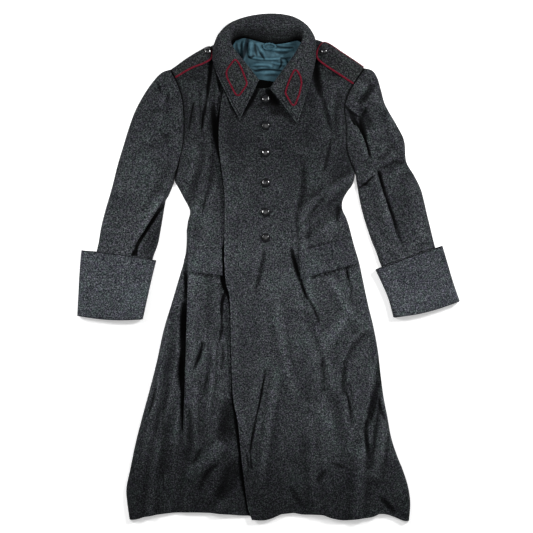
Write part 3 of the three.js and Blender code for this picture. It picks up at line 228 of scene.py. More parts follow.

# Sharp creases: a groove along the path, "width" to either side and "depth" deep, whose painted
# shade makes it darker by the share "dark"; rows of no depth are painted shade only
CREASE_COLUMNS = "x0 y0 x1 y1 x2 y2 width depth dark"
RIGHT_CREASES = table(CREASE_COLUMNS, [
    (-138, 517, -144, 467, -152, 412, 5, 8, 1),
    (-152, 417, -157, 381, -162, 341, 4, 4, 0.6),
    (-135, 404, -136, 345, -119, 270, 7, 6, 1),
    (-126, 475, -125, 452, -114, 424, 4, 3, 0.6),
    (-180, 407, -191, 380, -192, 333, 3, 2.5, 0.6),
    (-217, 284, -221, 256, -230, 212, 4.5, 2, 1),
    (-153, 402, -162, 369, -165, 331, 3, 2.5, 0.5),
    (-141, 284, -132, 240, -148, 176, 8, 3, 0.3),
    (-146, 194, -157, 158, -163, 127, 3, 2, 0.45),
    (-109, 54, -108, -5, -102, -64, 5.5, 4, 1),
    (-103, -54, -119, -81, -114, -127, 4.5, 4, 0.9),
    (-114, -118, -113, -154, -121, -181, 4, 3, 0.6),
    (-114, -186, -108, -217, -116, -252, 4, 2, 0.35),
    (-163, -176, -164, -209, -185, -247, 3.5, 3, 0.55),
    (-148, -250, -153, -279, -159, -309, 4, 2, 0.4),
    (-206, -5, -202, -49, -200, -93, 3.5, 3, 0.8),
    (-206, -82, -207, -140, -209, -204, 10.5, 7, 1),
    (-208, -188, -217, -240, -212, -304, 7.5, 5, 1),
    (-211, -290, -209, -330, -214, -400, 4.5, 4, 1),
    (-273, -282, -278, -322, -293, -358, 4, 3, 0.5),
    (-244, -267, -256, -332, -258, -412, 6, 2, 0.25),
    (-165, -436, -169, -458, -187, -480, 4, 2, 0.35),
    (-119, -475, -157, -499, -170, -546, 6, 3, 0.35),
    (-258, -488, -258, -519, -255, -551, 2.5, 2, 0.4),
    (-80, -304, -76, -392, -67, -451, 8, 3, 0.75),
    (-99, -318, -107, -374, -124, -424, 14, 3, 0.35),
    (-69, -441, -66, -512, -54, -564, 7, 3, 0.75),
    (-55, -549, -48, -586, -39, -612, 5, 3, 0.9),
    (-197, -13, -157, -18, -111, -22, 2, 1, 0.5),
    (-197, 50, -157, 47, -111, 47, 2, 0.5, 0.35),
    # Painted shade under the collar's crossing, and painted shadows along the collar leaf's edges
    (-38, 451, -5, 442, 43, 453, 12, 1, 1),
    (-72, 365, -92, 396, -110, 432, 3, 0, 0.7),
    (-108, 430, -125, 470, -137, 506, 3, 0, 0.7),
    # Broad painted shade over soft hollows
    (-70, -312, -92, -372, -104, -432, 20, 3, 0.4),
    (-66, -466, -92, -500, -126, -566, 24, 3, 0.35),
    (-232, -330, -252, -420, -262, -520, 12, 3, 0.25),
    (-190, -350, -184, -410, -200, -470, 10, 3, 0.25),
    (-148, -150, -140, -60, -150, 20, 12, 2, 0.15),
])
LEFT_CREASES = table(CREASE_COLUMNS, [
    (114, 519, 111, 478, 129, 417, 10, 8, 0.85),
    (129, 421, 141, 388, 153, 331, 6, 4, 0.4),
    (151, 316, 146, 268, 131, 225, 4.5, 3, 0.35),
    (82, 270, 96, 203, 65, 108, 9, 3, 0.3),
    (148, 189, 127, 163, 102, 132, 5, 4, 0.45),
    (168, 157, 174, 136, 165, 110, 6, 3, 0.5),
    (56, 51, 64, 7, 76, -27, 5.5, 8, 1),
    (75, -22, 85, -53, 98, -78, 4, 5, 0.85),
    (97, -74, 111, -94, 126, -140, 4, 3, 0.45),
    (-10, 44, -15, -10, -36, -64, 6, 3, 0.42),
    (77, -30, 148, -12, 219, 7, 2, 1, 0.65),
    (72, 42, 138, 59, 205, 75, 2, 0.5, 0.45),
    (191, 2, 193, -13, 197, -34, 3, 3, 0.95),
    (198, -29, 205, -54, 200, -78, 5, 2, 0.3),
    (244, -152, 202, -186, 190, -230, 7, 3, 0.35),
    (190, -221, 178, -282, 190, -314, 7, 3, 0.4),
    (189, -301, 202, -334, 202, -372, 3.5, 3, 0.65),
    (273, -201, 274, -250, 266, -299, 9, 4, 0.45),
    (267, -279, 254, -352, 239, -390, 9, 5, 0.65),
    (239, -372, 236, -424, 249, -466, 6, 4, 0.7),
    (271, -316, 272, -342, 283, -372, 4, 3, 0.6),
    (131, -216, 137, -270, 129, -323, 6, 2, 0.22),
    (-7, -247, -18, -314, -31, -370, 3, 5, 0.9),
    (-29, -358, -40, -416, -47, -456, 3.5, 5, 0.8),
    (-53, -453, -53, -469, -47, -490, 2.5, 3, 0.5),
    (-44, -456, -44, -480, -39, -495, 2.5, 3, 0.7),
    (146, -492, 125, -506, 119, -524, 5, 2, 0.35),
    (151, -473, 169, -485, 192, -488, 5, 2, 0.3),
    (53, -534, 65, -557, 87, -586, 7, 2, 0.35),
    (273, -559, 294, -582, 310, -600, 7, 3, 0.6),
    # Painted shadows of the collar leaves on this front
    (-4, 438, 8, 416, 22, 396, 10, 0, 1),
    (18, 402, 34, 380, 60, 354, 7, 0, 0.25),
    (-16, 436, 4, 404, 30, 378, 18, 0, 0.42),
    (-44, 392, -10, 402, 22, 404, 5, 0, 0.35),
    (-2, 378, 26, 384, 48, 372, 6, 0, 0.3),
    (-20, 451, -40, 409, -66, 370, 5, 0, 0.85),
    (-111, 443, -94, 405, -75, 366, 3, 0, 0.75),
    (190, 298, 196, 268, 212, 234, 3, 2, 1),
])
LEFT_SLEEVE_CREASES = table(CREASE_COLUMNS, [
    (254, 450, 244, 420, 218, 400, 9, 5, 0.55),
    (242, 396, 236, 380, 226, 366, 5, 3, 0.5),
    (189, 397, 205, 373, 229, 366, 3.5, 4, 0.7),
    (222, 366, 226, 336, 251, 267, 4.5, 5, 1),
    (225, 368, 230, 346, 240, 312, 7, 3, 0.7),
    (222, 396, 242, 372, 250, 336, 12, 4, 0.35),
    (222, 195, 236, 203, 258, 226, 3.5, 3, 0.85),
    (271, 240, 270, 220, 287, 162, 5.5, 6, 0.95),
    (285, 172, 293, 149, 330, 49, 6, 3, 0.4),
    (266, 241, 285, 247, 315, 265, 4, 2, 0.3),
    (187, 419, 176, 412, 190, 394, 3, 2, 0.5),
    (300, 265, 317, 252, 334, 260, 5, 2, 0.3),
    (312, 368, 318, 344, 330, 326, 5, 2, 0.3),
    (332, 240, 315, 173, 327, 81, 12, 1, 0.12),
])
RIGHT_SLEEVE_CREASES = table(CREASE_COLUMNS, [
    (-251, 159, -292, 104, -337, 24, 4, 5, 0.85),
    # Painted shade on the strip under the lapped fold
    (-256, 130, -286, 70, -306, 10, 17, 0, 0.32),
    (-321, 58, -322, 42, -323, 27, 3.5, 4, 0.95),
    (-326, 44, -328, 36, -331, 27, 4.5, 3, 0.95),
    (-276, 458, -267, 445, -263, 426, 5, 2, 0.3),
    (-249, 434, -241, 419, -254, 394, 5, 2, 0.35),
    (-290, 382, -261, 390, -232, 377, 4, 1.5, 0.2),
    (-266, 333, -246, 326, -246, 299, 5, 1.5, 0.2),
    (-241, 265, -254, 209, -315, 130, 9, 2, 0.22),
])
LINING_CREASES = table(CREASE_COLUMNS, [
    (-49, 573, -53, 544, -66, 506, 5, 4, 0.85),
    (-50, 520, -46, 510, -34, 520, 3, 2, 0.6),
    (-36, 482, -12, 489, 38, 482, 2.5, 3, 0.8),
    (-44, 488, -30, 478, -14, 486, 3, 2, 0.4),
    (29, 512, 36, 498, 25, 487, 2.5, 3, 0.6),
    (-78, 551, -82, 530, -58, 500, 4, 1, 0.5),
    (-34, 548, -32, 530, -28, 518, 3, 2, 0.5),
    (12, 545, 34, 536, 62, 540, 3, 3, 0.6),
    (-22, 528, -14, 520, -10, 508, 3, 2, 0.5),
    (16, 528, 34, 524, 50, 528, 3, 2, 0.35),
    (28, 514, 44, 510, 56, 516, 3, 2, 0.45),
    (-12, 470, 2, 474, 26, 470, 3, 2, 0.3),
])

# How far the free edge of the left front stands off the right front
EDGE_LIFT = table("y height", [
    (439, 2), (400, 8), (350, 13), (285, 13), (210, 8), (120, 6), (20, 6), (-60, 9), (-200, 7),
    (-380, 5), (-615, 3),
])

# How far outside the free edge the right front is darkened by painted shadow
EDGE_SHADE = table("y width", [
    (439, 3), (405, 3), (380, 6), (345, 11), (315, 11), (290, 7), (235, 4), (150, 3), (60, 4),
    (30, 13), (-50, 13), (-80, 5), (-200, 3), (-290, 4), (-340, 7), (-480, 7), (-615, 5),
])

# Sleeves: the two ends of each section, from the armhole to the mouth
SLEEVE_COLUMNS = "outer_x outer_y inner_x inner_y"
RIGHT_SLEEVE = table(SLEEVE_COLUMNS, [
    (-239, 485, -230, 216), (-261, 478, -232, 211), (-283, 456, -233, 206),
    (-305, 424, -236, 198), (-325, 387, -241, 186), (-341, 345, -247, 172),
    (-356, 296, -254, 154), (-370, 250, -258, 130), (-383, 198, -263, 100), (-398, 147, -268, 71),
    (-413, 96, -273, 44), (-421, 62, -278, 22), (-426, 40, -281, 8), (-437, -8, -291, -29),
    (-447, -56, -303, -73), (-454, -108, -312, -116),
])
LEFT_SLEEVE = table(SLEEVE_COLUMNS, [
    (234, 488, 211, 235), (254, 483, 213, 230), (266, 466, 215, 223), (275, 436, 216, 213),
    (286, 399, 218, 201), (315, 348, 222, 174), (332, 312, 227, 150), (337, 262, 234, 123),
    (356, 228, 241, 100), (371, 198, 249, 76), (383, 164, 257, 49), (396, 118, 265, 20),
    (409, 66, 273, -2), (420, 26, 284, -32), (432, -18, 297, -66), (446, -72, 308, -104),
])

# Turned-back cuffs: the ends of each section from the free top edge to the mouth
CUFF_COLUMNS = "outer_x outer_y inner_x inner_y height bow"
RIGHT_CUFF = table(CUFF_COLUMNS, [
    (-457, 43, -274, 18, 26, -3), (-461, 0, -284, -22, 24, -1), (-464, -54, -295, -71, 24, 2),
    (-467, -112, -306, -121, 23, 4), (-467, -115, -307, -124, 21, 5),
])
LEFT_CUFF = table(CUFF_COLUMNS, [
    (425, 54, 261, -4, 26, -2), (438, 10, 277, -38, 24, 0), (452, -37, 293, -76, 24, 3),
    (466, -77, 304, -117, 23, 5), (467, -80, 305, -120, 21, 6),
])

# Collar: stand foot, roll, side of the fall, and its free edge, from the right end to the left
COLLAR_COLUMNS = "foot_x foot_y foot_z roll_x roll_y roll_z side_x side_y side_z fall_x fall_y fall_z"
COLLAR = table(COLLAR_COLUMNS, [
    (-31, 446, 12, -24, 458, 25, -46, 413, 23, -70, 365, 16),
    (-47, 463, 12, -41, 479, 31, -64, 439, 30, -88, 397, 18),
    (-66, 483, 13, -58, 500, 36, -83, 467, 35, -106, 434, 19),
    (-84, 504, 14, -75, 520, 40, -102, 494, 39, -123, 470, 20),
    (-96, 526, 15, -89, 539, 43, -117, 521, 40, -134, 505, 20),
    (-96, 546, 14, -94, 556, 44, -123, 548, 37, -135, 534, 17),
    (-84, 562, 10, -93, 575, 41, -119, 571, 28, -123, 561, 7),
    (-62, 568, 7, -74, 587, 40, -94, 596, 22, -84, 577, 1.7),
    (-33, 562, 5.4, -41, 594, 40, -50, 613, 20, -42, 591, 1.5),
    (1, 553, 4.9, 2, 597, 40, 4, 620, 19, 3, 597, 1.5),
    (42, 555, 5.4, 45, 594, 40, 54, 614, 20, 47, 591, 1.5),
    (74, 562, 7, 75, 586, 40, 90, 594, 23, 82, 576, 1.7),
    (86, 557, 10, 85, 572, 41, 109, 566, 30, 110, 553, 5),
    (86, 540, 14, 83, 553, 44, 110, 541, 38, 116, 530, 14),
    (81, 521, 15, 75, 537, 43, 104, 515, 39, 111, 495, 20),
    (69, 500, 14, 63, 517, 40, 92, 484, 37, 102, 456, 20),
    (52, 475, 13, 45, 493, 35, 76, 451, 33, 90, 419, 18),
    (35, 450, 12, 25, 467, 30, 60, 417, 27, 80, 385, 16),
    (15, 428, 11.5, 4, 438, 24, 39, 396, 20, 70, 354, 14),
])

# Collar tabs and shoulder boards: two chains of corners seen from above
RIGHT_TAB = (
    table("x y", [(-82, 502), (-100, 478), (-99, 465), (-83, 433), (-77, 423)]),
    table("x y", [(-79, 502), (-74, 495), (-67, 481), (-54, 448), (-72, 422)]),
)
LEFT_TAB = (
    table("x y", [(67, 478), (75, 465), (78, 449), (72, 422), (63, 399)]),
    table("x y", [(64, 478), (58, 466), (51, 450), (43, 426), (59, 399)]),
)
LEFT_BOARD = (
    table("x y", [(121, 528), (124, 538), (137, 549), (180, 523), (231, 490)]),
    table("x y", [(120, 520), (121, 514), (130, 505), (168, 480), (208, 454)]),
)
RIGHT_BOARD = (
    table("x y", [(-141, 527), (-143, 541), (-168, 529), (-203, 508), (-235, 486)]),
    table("x y", [(-141, 520), (-143, 512), (-162, 501), (-188, 491), (-228, 469)]),
)

# Pocket flaps: top edge, then lower edge, both from the front edge outwards
LEFT_FLAP = (table("x y", [(75, 40), (203, 72)]), table("x y", [(80, -25), (215, 11)]))
RIGHT_FLAP = (table("x y", [(-115, 44), (-190, 48)]), table("x y", [(-113, -17), (-190, -9)]))

BUTTON_LINE_X = -7.0
FRONT_BUTTON_YS = (413, 348, 281, 208, 136, 74)
BOARD_BUTTONS = {"right": (-148, 528), "left": (136, 528)}

# Lining seen in the neck, and its hanger loop
LINING_TOP = table("x y", [
    (-78, 556), (-60, 562), (-33, 556), (1, 547), (42, 549), (70, 556), (80, 551),
])
LINING_RIGHT = table("y x", [(547, -80), (520, -96), (480, -96), (434, -90)])
LINING_LEFT = table("y x", [(547, 80), (520, 90), (480, 86), (434, 82)])
LINING_FOLDS = table(FOLD_COLUMNS, [
    (-60, 580, -58, 530, -66, 500, 9, 8, 4),
    (-44, 580, -40, 540, -46, 514, 9, 10, 3.5),
    (-48, 516, -10, 506, 30, 512, 7, 4, 3.5),
    (-46, 494, -10, 500, 10, 492, 9, 5, 3),
    (6, 504, 30, 494, 48, 500, 7, 5, 2.5),
    (-30, 552, -16, 530, -6, 510, 9, 6, 3),
    (-4, 536, 24, 530, 62, 534, 8, 5, 3),
    (-40, 472, 0, 480, 46, 474, 8, 6, 2.5),
    (36, 512, 50, 496, 40, 474, 7, 7, 2.5),
    (-2, 560, 24, 548, 66, 552, 7, 7, 2),
])
LOOP_CENTRE = (2.4, 541.0)
LOOP_RADII = (14.5, 7.0)


def smooth(t: Array) -> Array:
    """Eases from 0 to 1 as t goes from 0 to 1: t squared times (3 - 2 t)."""
    c = np.clip(t, 0.0, 1.0)
    return c * c * (3 - 2 * c)


def mix(a: Array, b: Array, t: Array) -> Array:
    """Goes straight from a to b as t goes from 0 to 1."""
    return a + (b - a) * t


def bell(distance: Array, width: float) -> Array:
    """1 at a distance of 0, falling as exp(-(distance / width)^2)."""
    return np.exp(-((distance / width) ** 2))


def layered(*shades: Array) -> Array:
    """Darkness of shades over each other: 1 less the product of what each of them lets through."""
    return 1 - math.prod(1 - shade for shade in shades)


def roll_down(distance: Array, reach: float) -> Array:
    """A quarter round: 0 at an edge on the floor, 1 from the reach inwards."""
    t = np.clip(distance / reach, 0.0, 1.0)
    return np.sqrt(1 - (1 - t) ** 2)


def soft_floor(value: Array, limit: Array, soft: float = 1.5) -> Array:
    """Keeps a height above a limit with a soft turn, by the upper branch of a hyperbola."""
    over = value - limit
    return limit + 0.5 * (over + np.sqrt(over * over + soft * soft)) - 0.25 * soft


class Curve:
    """A cubic through knots: each span takes its slopes from the knots beside it."""

    def __init__(self, at: Array, value: Array) -> None:
        """Sorts the knots and works out the slope at each.

        Args:
            at: where the knots stand.
            value: the value at each knot.
        """
        order = np.argsort(at, kind="stable")
        self.at, self.value = at[order], value[order]
        before, after = np.r_[self.at[0], self.at[:-1]], np.r_[self.at[1:], self.at[-1]]
        low, high = np.r_[self.value[0], self.value[:-1]], np.r_[self.value[1:], self.value[-1]]
        self.slope = (high - low) / (after - before)

    def __call__(self, at: Array) -> Array:
        """Reads the curve, and holds its end values beyond its ends.

        Args:
            at: the places to read.

        Returns:
            The value at each place.
        """
        at = np.clip(at, self.at[0], self.at[-1])
        k = np.clip(np.searchsorted(self.at, at, side="right") - 1, 0, len(self.at) - 2)
        span = self.at[k + 1] - self.at[k]
        t = (at - self.at[k]) / span
        t2, t3 = t * t, t * t * t
        return (
            self.value[k] * (2 * t3 - 3 * t2 + 1)
            + self.slope[k] * span * (t3 - 2 * t2 + t)
            + self.value[k + 1] * (3 * t2 - 2 * t3)
            + self.slope[k + 1] * span * (t3 - t2)
        )


def curve_of(rows: dict[str, Array], key: str, column: str) -> Curve:
    """The curve of one column of a table against another."""
    return Curve(rows[key], rows[column])


class PlanLine:
    """A line seen from above through a table's x and y, read by its share of the length."""

    def __init__(self, rows: dict[str, Array], smoothed: bool = True) -> None:
        """Measures the way along the rows.

        Args:
            rows: a table with columns x and y.
            smoothed: whether the line bends through its rows or has corners at them.
        """
        x, y = rows["x"], rows["y"]
        self.run = np.r_[0, np.cumsum(np.hypot(np.diff(x), np.diff(y)))]
        self.length = self.run[-1]
        self.smoothed = smoothed
        self.x, self.y = Curve(self.run, x), Curve(self.run, y)

    def at(self, share: Array) -> tuple[Array, Array]:
        """x and y at a share of the length.

        Args:
            share: from 0 at the first row to 1 at the last.

        Returns:
            The x and the y of each place.
        """
        run = np.clip(share, 0, 1) * self.length
        if self.smoothed:
            return self.x(run), self.y(run)
        return np.interp(run, self.run, self.x.value), np.interp(run, self.run, self.y.value)


def bent_path(row: dict[str, float], t: Array) -> tuple[Array, Array]:
    """x and y at shares t of a table row's path: a parabola's arc, bent by the row's three points."""
    return tuple(
        (1 - t) ** 2 * row[f"{c}0"] + 2 * t * (1 - t) * row[f"{c}1"] + t * t * row[f"{c}2"] for c in "xy"
    )


def fading(share: Array, power: float) -> Array:
    """Fades out at both ends of a path: the sine of half a turn times the share, to a power."""
    return np.sin(math.pi * np.clip(share, 0, 1)) ** power


def along_path(row: dict[str, float], x: Array, y: Array) -> tuple[Array, Array, Array, Array]:
    """Where points stand beside a path bent by three points, taken as a chain of chords.

    Args:
        row: one row of a fold table.
        x: the points' x.
        y: the points' y.

    Returns:
        The distance to the path, positive on its left; the share of the way along it; and the
        x and y of the unit vector that points from the path to its left there.
    """
    px, py = bent_path(row, np.linspace(0, 1, CHORDS + 1))
    best = np.full(x.shape, np.inf)
    signed, share = np.zeros(x.shape), np.zeros(x.shape)
    for k in range(CHORDS):
        dx, dy = px[k + 1] - px[k], py[k + 1] - py[k]
        w = np.clip(((x - px[k]) * dx + (y - py[k]) * dy) / (dx * dx + dy * dy), 0, 1)
        away_x, away_y = x - px[k] - w * dx, y - py[k] - w * dy
        distance = np.hypot(away_x, away_y)
        nearer = distance < best
        best = np.where(nearer, distance, best)
        side = np.where(dx * (y - py[k]) - dy * (x - px[k]) >= 0, 1.0, -1.0)
        signed = np.where(nearer, side * distance, signed)
        share = np.where(nearer, (k + w) / CHORDS, share)
    tx, ty = (
        2 * (1 - share) * (row[f"{c}1"] - row[f"{c}0"]) + 2 * share * (row[f"{c}2"] - row[f"{c}1"])
        for c in "xy"
    )
    size = np.maximum(np.hypot(tx, ty), 1e-6)
    return signed, share, -ty / size, tx / size


def rows_of(columns: dict[str, Array]) -> list[dict[str, float]]:
    """The rows of a table as dictionaries."""
    return [dict(zip(columns, row)) for row in zip(*columns.values())]


def fold_height(folds: dict[str, Array], x: Array, y: Array) -> Array:
    """Height that soft folds add: half a cosine wave across each, fading at its two ends.

    Args:
        folds: a table of folds.
        x: the points' x.
        y: the points' y.

    Returns:
        The height at each point.
    """
    height = np.zeros(x.shape)
    for row in rows_of(folds):
        signed, share, _, _ = along_path(row, x, y)
        width = np.where(signed > 0, row["left"], row["right"])
        across = 0.5 * (1 + np.cos(math.pi * np.clip(np.abs(signed) / width, 0, 1)))
        height += row["height"] * across * fading(share, 0.5)
    return height


def crease_field(creases: dict[str, Array], x: Array, y: Array) -> tuple[Array, Array]:
    """Grooves of sharp creases with painted shade, which fade at their two ends.

    The depth across a crease is exp(-(distance / width)^2). The painted shade is flatter and ends
    more sharply: exp(-(distance / width)^4).

    Args:
        creases: a table of creases.
        x: the points' x.
        y: the points' y.

    Returns:
        The depth below the cloth and the painted shade, from 0 to 1, at each point.
    """
    depth, light = np.zeros(x.shape), np.ones(x.shape)
    for row in rows_of(creases):
        signed, share, _, _ = along_path(row, x, y)
        ends = fading(share, 0.35)
        near = (signed / (row["width"] * (0.35 + 0.65 * ends))) ** 2
        depth += row["depth"] * ends * np.exp(-near)
        light *= 1 - row["dark"] * ends * np.exp(-near * near)
    return depth, 1 - light


def crease_places(creases: dict[str, Array], y: float) -> list[float]:
    """x of each crease that crosses a height y, so that mesh columns can gather there."""
    found = []
    for row in rows_of(creases):
        px, py = bent_path(row, np.linspace(0, 1, 2 * CHORDS + 1))
        if py.min() < y < py.max():
            order = np.argsort(py)
            found.append(float(np.interp(y, py[order], px[order])))
    return found


def lap_over(laps: dict[str, Array], x: Array, y: Array) -> tuple[Array, Array, Array, Array]:
    """Moves cloth into lapped folds, and paints shade under them.

    The fold's edge is seen along the path. Right of it the cloth rises to a crest with an eased
    slope. Then it falls by the crest's height over the drop, while a full sine wave of the
    lean's size moves it sideways, so that it turns under its own edge.

    Args:
        laps: a table of lapped folds.
        x: the points' x.
        y: the points' y.

    Returns:
        How far each point moves in x, in y and up, and its painted shade under the crest, less a
        painted highlight on the crest.
    """
    move_x, move_y, rise, dark = (np.zeros(x.shape) for _ in range(4))
    for row in rows_of(laps):
        signed, share, left_x, left_y = along_path(row, x, y)
        ends = fading(share, 0.6)
        past = signed + 0.25 * row["drop"] + row["lean"]
        t = np.clip(past / row["drop"], 0, 1)
        high = 1 - smooth(-past / row["reach"])
        rise += ends * row["height"] * np.where(past > 0, 1 - smooth(t), high)
        sway = ends * row["lean"] * np.sin(2 * math.pi * t)
        move_x += sway * left_x
        move_y += sway * left_y
        beyond = past / row["drop"]
        under = smooth((beyond - 0.3) / 0.15) * (1 - smooth((beyond - 0.95) / 0.4))
        # A painted highlight along the crest
        wear_and_highlight = 0.15 * bell(beyond - 0.1, 0.1)
        dark = np.where(np.abs(beyond - 0.4) < 1, row["dark"] * ends**2 * under - ends * wear_and_highlight, dark)
    return move_x, move_y, rise, dark


def evened(values: Array, passes: int) -> Array:
    """Smooths a grid of heights: each pass takes each one half way to its neighbours' mean."""
    for _ in range(passes):
        padded = np.pad(values, 1, mode="edge")
        mean = (padded[:-2, 1:-1] + padded[2:, 1:-1] + padded[1:-1, :-2] + padded[1:-1, 2:]) / 4
        values = mix(values, mean, 0.5)
    return values


def painted_fold_shade(painted_shade: Array, height: Array, strength: float = 0.08, passes: int = 36) -> Array:
    """Painted light and shade: a painted highlight on ridges, painted shade in hollows and in creases.

    The hollow is the evened height less the height. Flat cloth has the neutral painted shade.

    Args:
        painted_shade: the creases' painted shade, from 0 to 1.
        height: the cloth's heights, as a grid.
        strength: the change of painted shade for each millimetre of hollow.
        passes: how widely the heights are evened.

    Returns:
        The painted shade at each point.
    """
    hollow = evened(height, passes) - height
    base = NEUTRAL + np.clip(strength * hollow, -NEUTRAL, 0.4)
    return layered(base, painted_shade)


@dataclass(frozen=True)
class Ripples:
    """The small unevenness of cloth after long wear: waves of many lengths and directions."""

    seed: int
    longest: float = 170.0
    shortest: float = 26.0
    count: int = 26
    height: float = 0.9

    def at(self, x: Array, y: Array) -> Array:
        """Sum of sine waves whose heights fall with their lengths.

        Args:
            x: the points' x.
            y: the points' y.

        Returns:
            The height of the ripples at each point.
        """
        rng = np.random.default_rng(self.seed)
        total = np.zeros(x.shape)
        lengths = np.geomspace(self.longest, self.shortest, self.count)
        for length in lengths:
            angle, phase = rng.uniform(0, math.pi), rng.uniform(0, 2 * math.pi)
            way = (x * math.cos(angle) + y * math.sin(angle)) / length
            total += self.height * (length / self.longest) * np.sin(2 * math.pi * way + phase)
        return total / math.sqrt(self.count) * 2


def spread(count: int, groups: list[tuple[float, float, float]]) -> Array:
    """Places from 0 to 1, closer together round chosen spots.

    The density is 1 plus a bell for each group, and the places share its integral evenly.

    Args:
        count: how many places.
        groups: (spot, width of the bell, height of the bell) for each spot.

    Returns:
        The places, from 0 to 1.
    """
    t = np.linspace(0, 1, 800)
    density = np.ones(t.shape)
    for spot, width, height in groups:
        density += height * bell(t - spot, width)
    whole = np.r_[0, np.cumsum(0.5 * (density[1:] + density[:-1]))]
    return np.interp(np.linspace(0, 1, count), whole / whole[-1], t)


@dataclass
class Surface:
    """Points and quads of a closed mesh, in millimetres."""

    points: Array
    quads: Array
    painted_shade: Array = None

    def faced_out(self) -> "Surface":
        """The same surface with its faces pointing out, by the sign of its volume."""
        a, b, c, d = (self.points[self.quads[:, k]] for k in range(4))
        volume = np.einsum("ij,ij->i", a, np.cross(b, c)) + np.einsum("ij,ij->i", a, np.cross(c, d))
        quads = self.quads[:, ::-1] if volume.sum() < 0 else self.quads
        return Surface(self.points, quads, self.painted_shade)


def grid_quads(rows: int, columns: int, around: bool) -> Array:
    """Quads between the rows and columns of a grid.

    Args:
        rows: how many rows of points.
        columns: how many points in a row.
        around: whether each row is a closed ring.

    Returns:
        Four point numbers for each quad.
    """
    i = np.arange(rows - 1)[:, None]
    j = np.arange(columns if around else columns - 1)[None, :]
    far = (j + 1) % columns
    corners = (i * columns + j, (i + 1) * columns + j, (i + 1) * columns + far, i * columns + far)
    return np.stack([np.broadcast_to(c, (rows - 1, j.shape[1])) for c in corners], -1).reshape(-1, 4)


def unit(vectors: Array) -> Array:
    """The same vectors at length 1."""
    return vectors / np.maximum(np.linalg.norm(vectors, axis=-1, keepdims=True), TINY)


def ways_along(path: Array, closed: bool) -> Array:
    """The direction of a path at each of its points, at any length."""
    return np.roll(path, -1, 0) - np.roll(path, 1, 0) if closed else np.gradient(path, axis=0)


def fan(centre: int, start: int, sides: int) -> Array:
    """Quads from a centre point to a ring of points, two of the ring's sides in each."""
    j = np.arange(0, sides, 2)
    ring = [start + (j + k) % sides for k in range(3)]
    return np.stack([np.full(len(j), centre), *ring], -1)


def grid_normals(grid: Array, around: bool) -> tuple[Array, Array, Array]:
    """Unit normals of a grid, and its unit steps down the rows and across the columns.

    Args:
        grid: points as rows, columns, xyz.
        around: whether each row is a closed ring.

    Returns:
        Normals, steps down and steps across, each shaped as the grid.
    """
    down = np.empty_like(grid)
    down[1:-1] = grid[2:] - grid[:-2]
    down[0], down[-1] = grid[1] - grid[0], grid[-1] - grid[-2]
    across = np.empty_like(grid)
    if around:
        across[:] = np.roll(grid, -1, 1) - np.roll(grid, 1, 1)
    else:
        across[:, 1:-1] = grid[:, 2:] - grid[:, :-2]
        across[:, 0], across[:, -1] = grid[:, 1] - grid[:, 0], grid[:, -1] - grid[:, -2]
    return unit(np.cross(down, across)), unit(down), unit(across)


def wall(
    grid: Array, thickness: float, around: bool = False, bulge: float = 0.9, painted_shade: Array = None,
) -> Surface:
    """A closed wall of cloth on both sides of a grid, with half-round edges.

    Each point moves half the thickness along its normal to either side. The two sides are
    joined round the border by rings that go round a half ellipse. Nothing goes below the floor.

    Args:
        grid: the middle of the wall, as rows, columns, xyz.
        thickness: the wall's thickness.
        around: whether each row is a closed ring.
        bulge: how far the edges stand out beyond the grid.
        painted_shade: the painted shade at each point of the grid, from 0 to 1.

    Returns:
        The closed surface.
    """
    rows, columns, _ = grid.shape
    flat_painted_shade = np.full(rows * columns, NEUTRAL) if painted_shade is None else painted_shade.ravel()
    normal, down, across = grid_normals(grid, around)
    half = thickness / 2
    number = np.arange(rows * columns).reshape(rows, columns)
    out = np.zeros_like(grid)
    out[0] -= down[0]
    out[-1] += down[-1]
    if around:
        loops = [number[0], number[-1][::-1]]
    else:
        out[:, 0] -= across[:, 0]
        out[:, -1] += across[:, -1]
        border = [number[:-1, 0], number[-1, :-1], number[:0:-1, -1], number[0, :0:-1]]
        loops = [np.concatenate(border)]
    flat, flat_normal, flat_out = (a.reshape(-1, 3) for a in (grid, normal, unit(out)))
    quads = grid_quads(rows, columns, around)
    size = rows * columns
    points = [flat + half * flat_normal, flat - half * flat_normal]
    faces = [quads, quads[:, ::-1] + size]
    shades = [flat_painted_shade, flat_painted_shade]
    start = 2 * size
    for loop in loops:
        ring = loop
        for angle in np.radians((36, 72, 108, 144)):
            lift = half * math.cos(angle) * flat_normal[loop]
            points.append(flat[loop] + lift + bulge * math.sin(angle) * flat_out[loop])
            shades.append(flat_painted_shade[loop])
            new = start + np.arange(len(loop))
            start += len(loop)
            faces.append(np.stack([ring, np.roll(ring, -1), np.roll(new, -1), new], -1)[:, ::-1])
            ring = new
        last = loop + size
        faces.append(np.stack([ring, np.roll(ring, -1), np.roll(last, -1), last], -1)[:, ::-1])
    made = np.concatenate(points)
    made[:, 2] = np.maximum(made[:, 2], 0)
    return Surface(made, np.concatenate(faces), np.concatenate(shades)).faced_out()


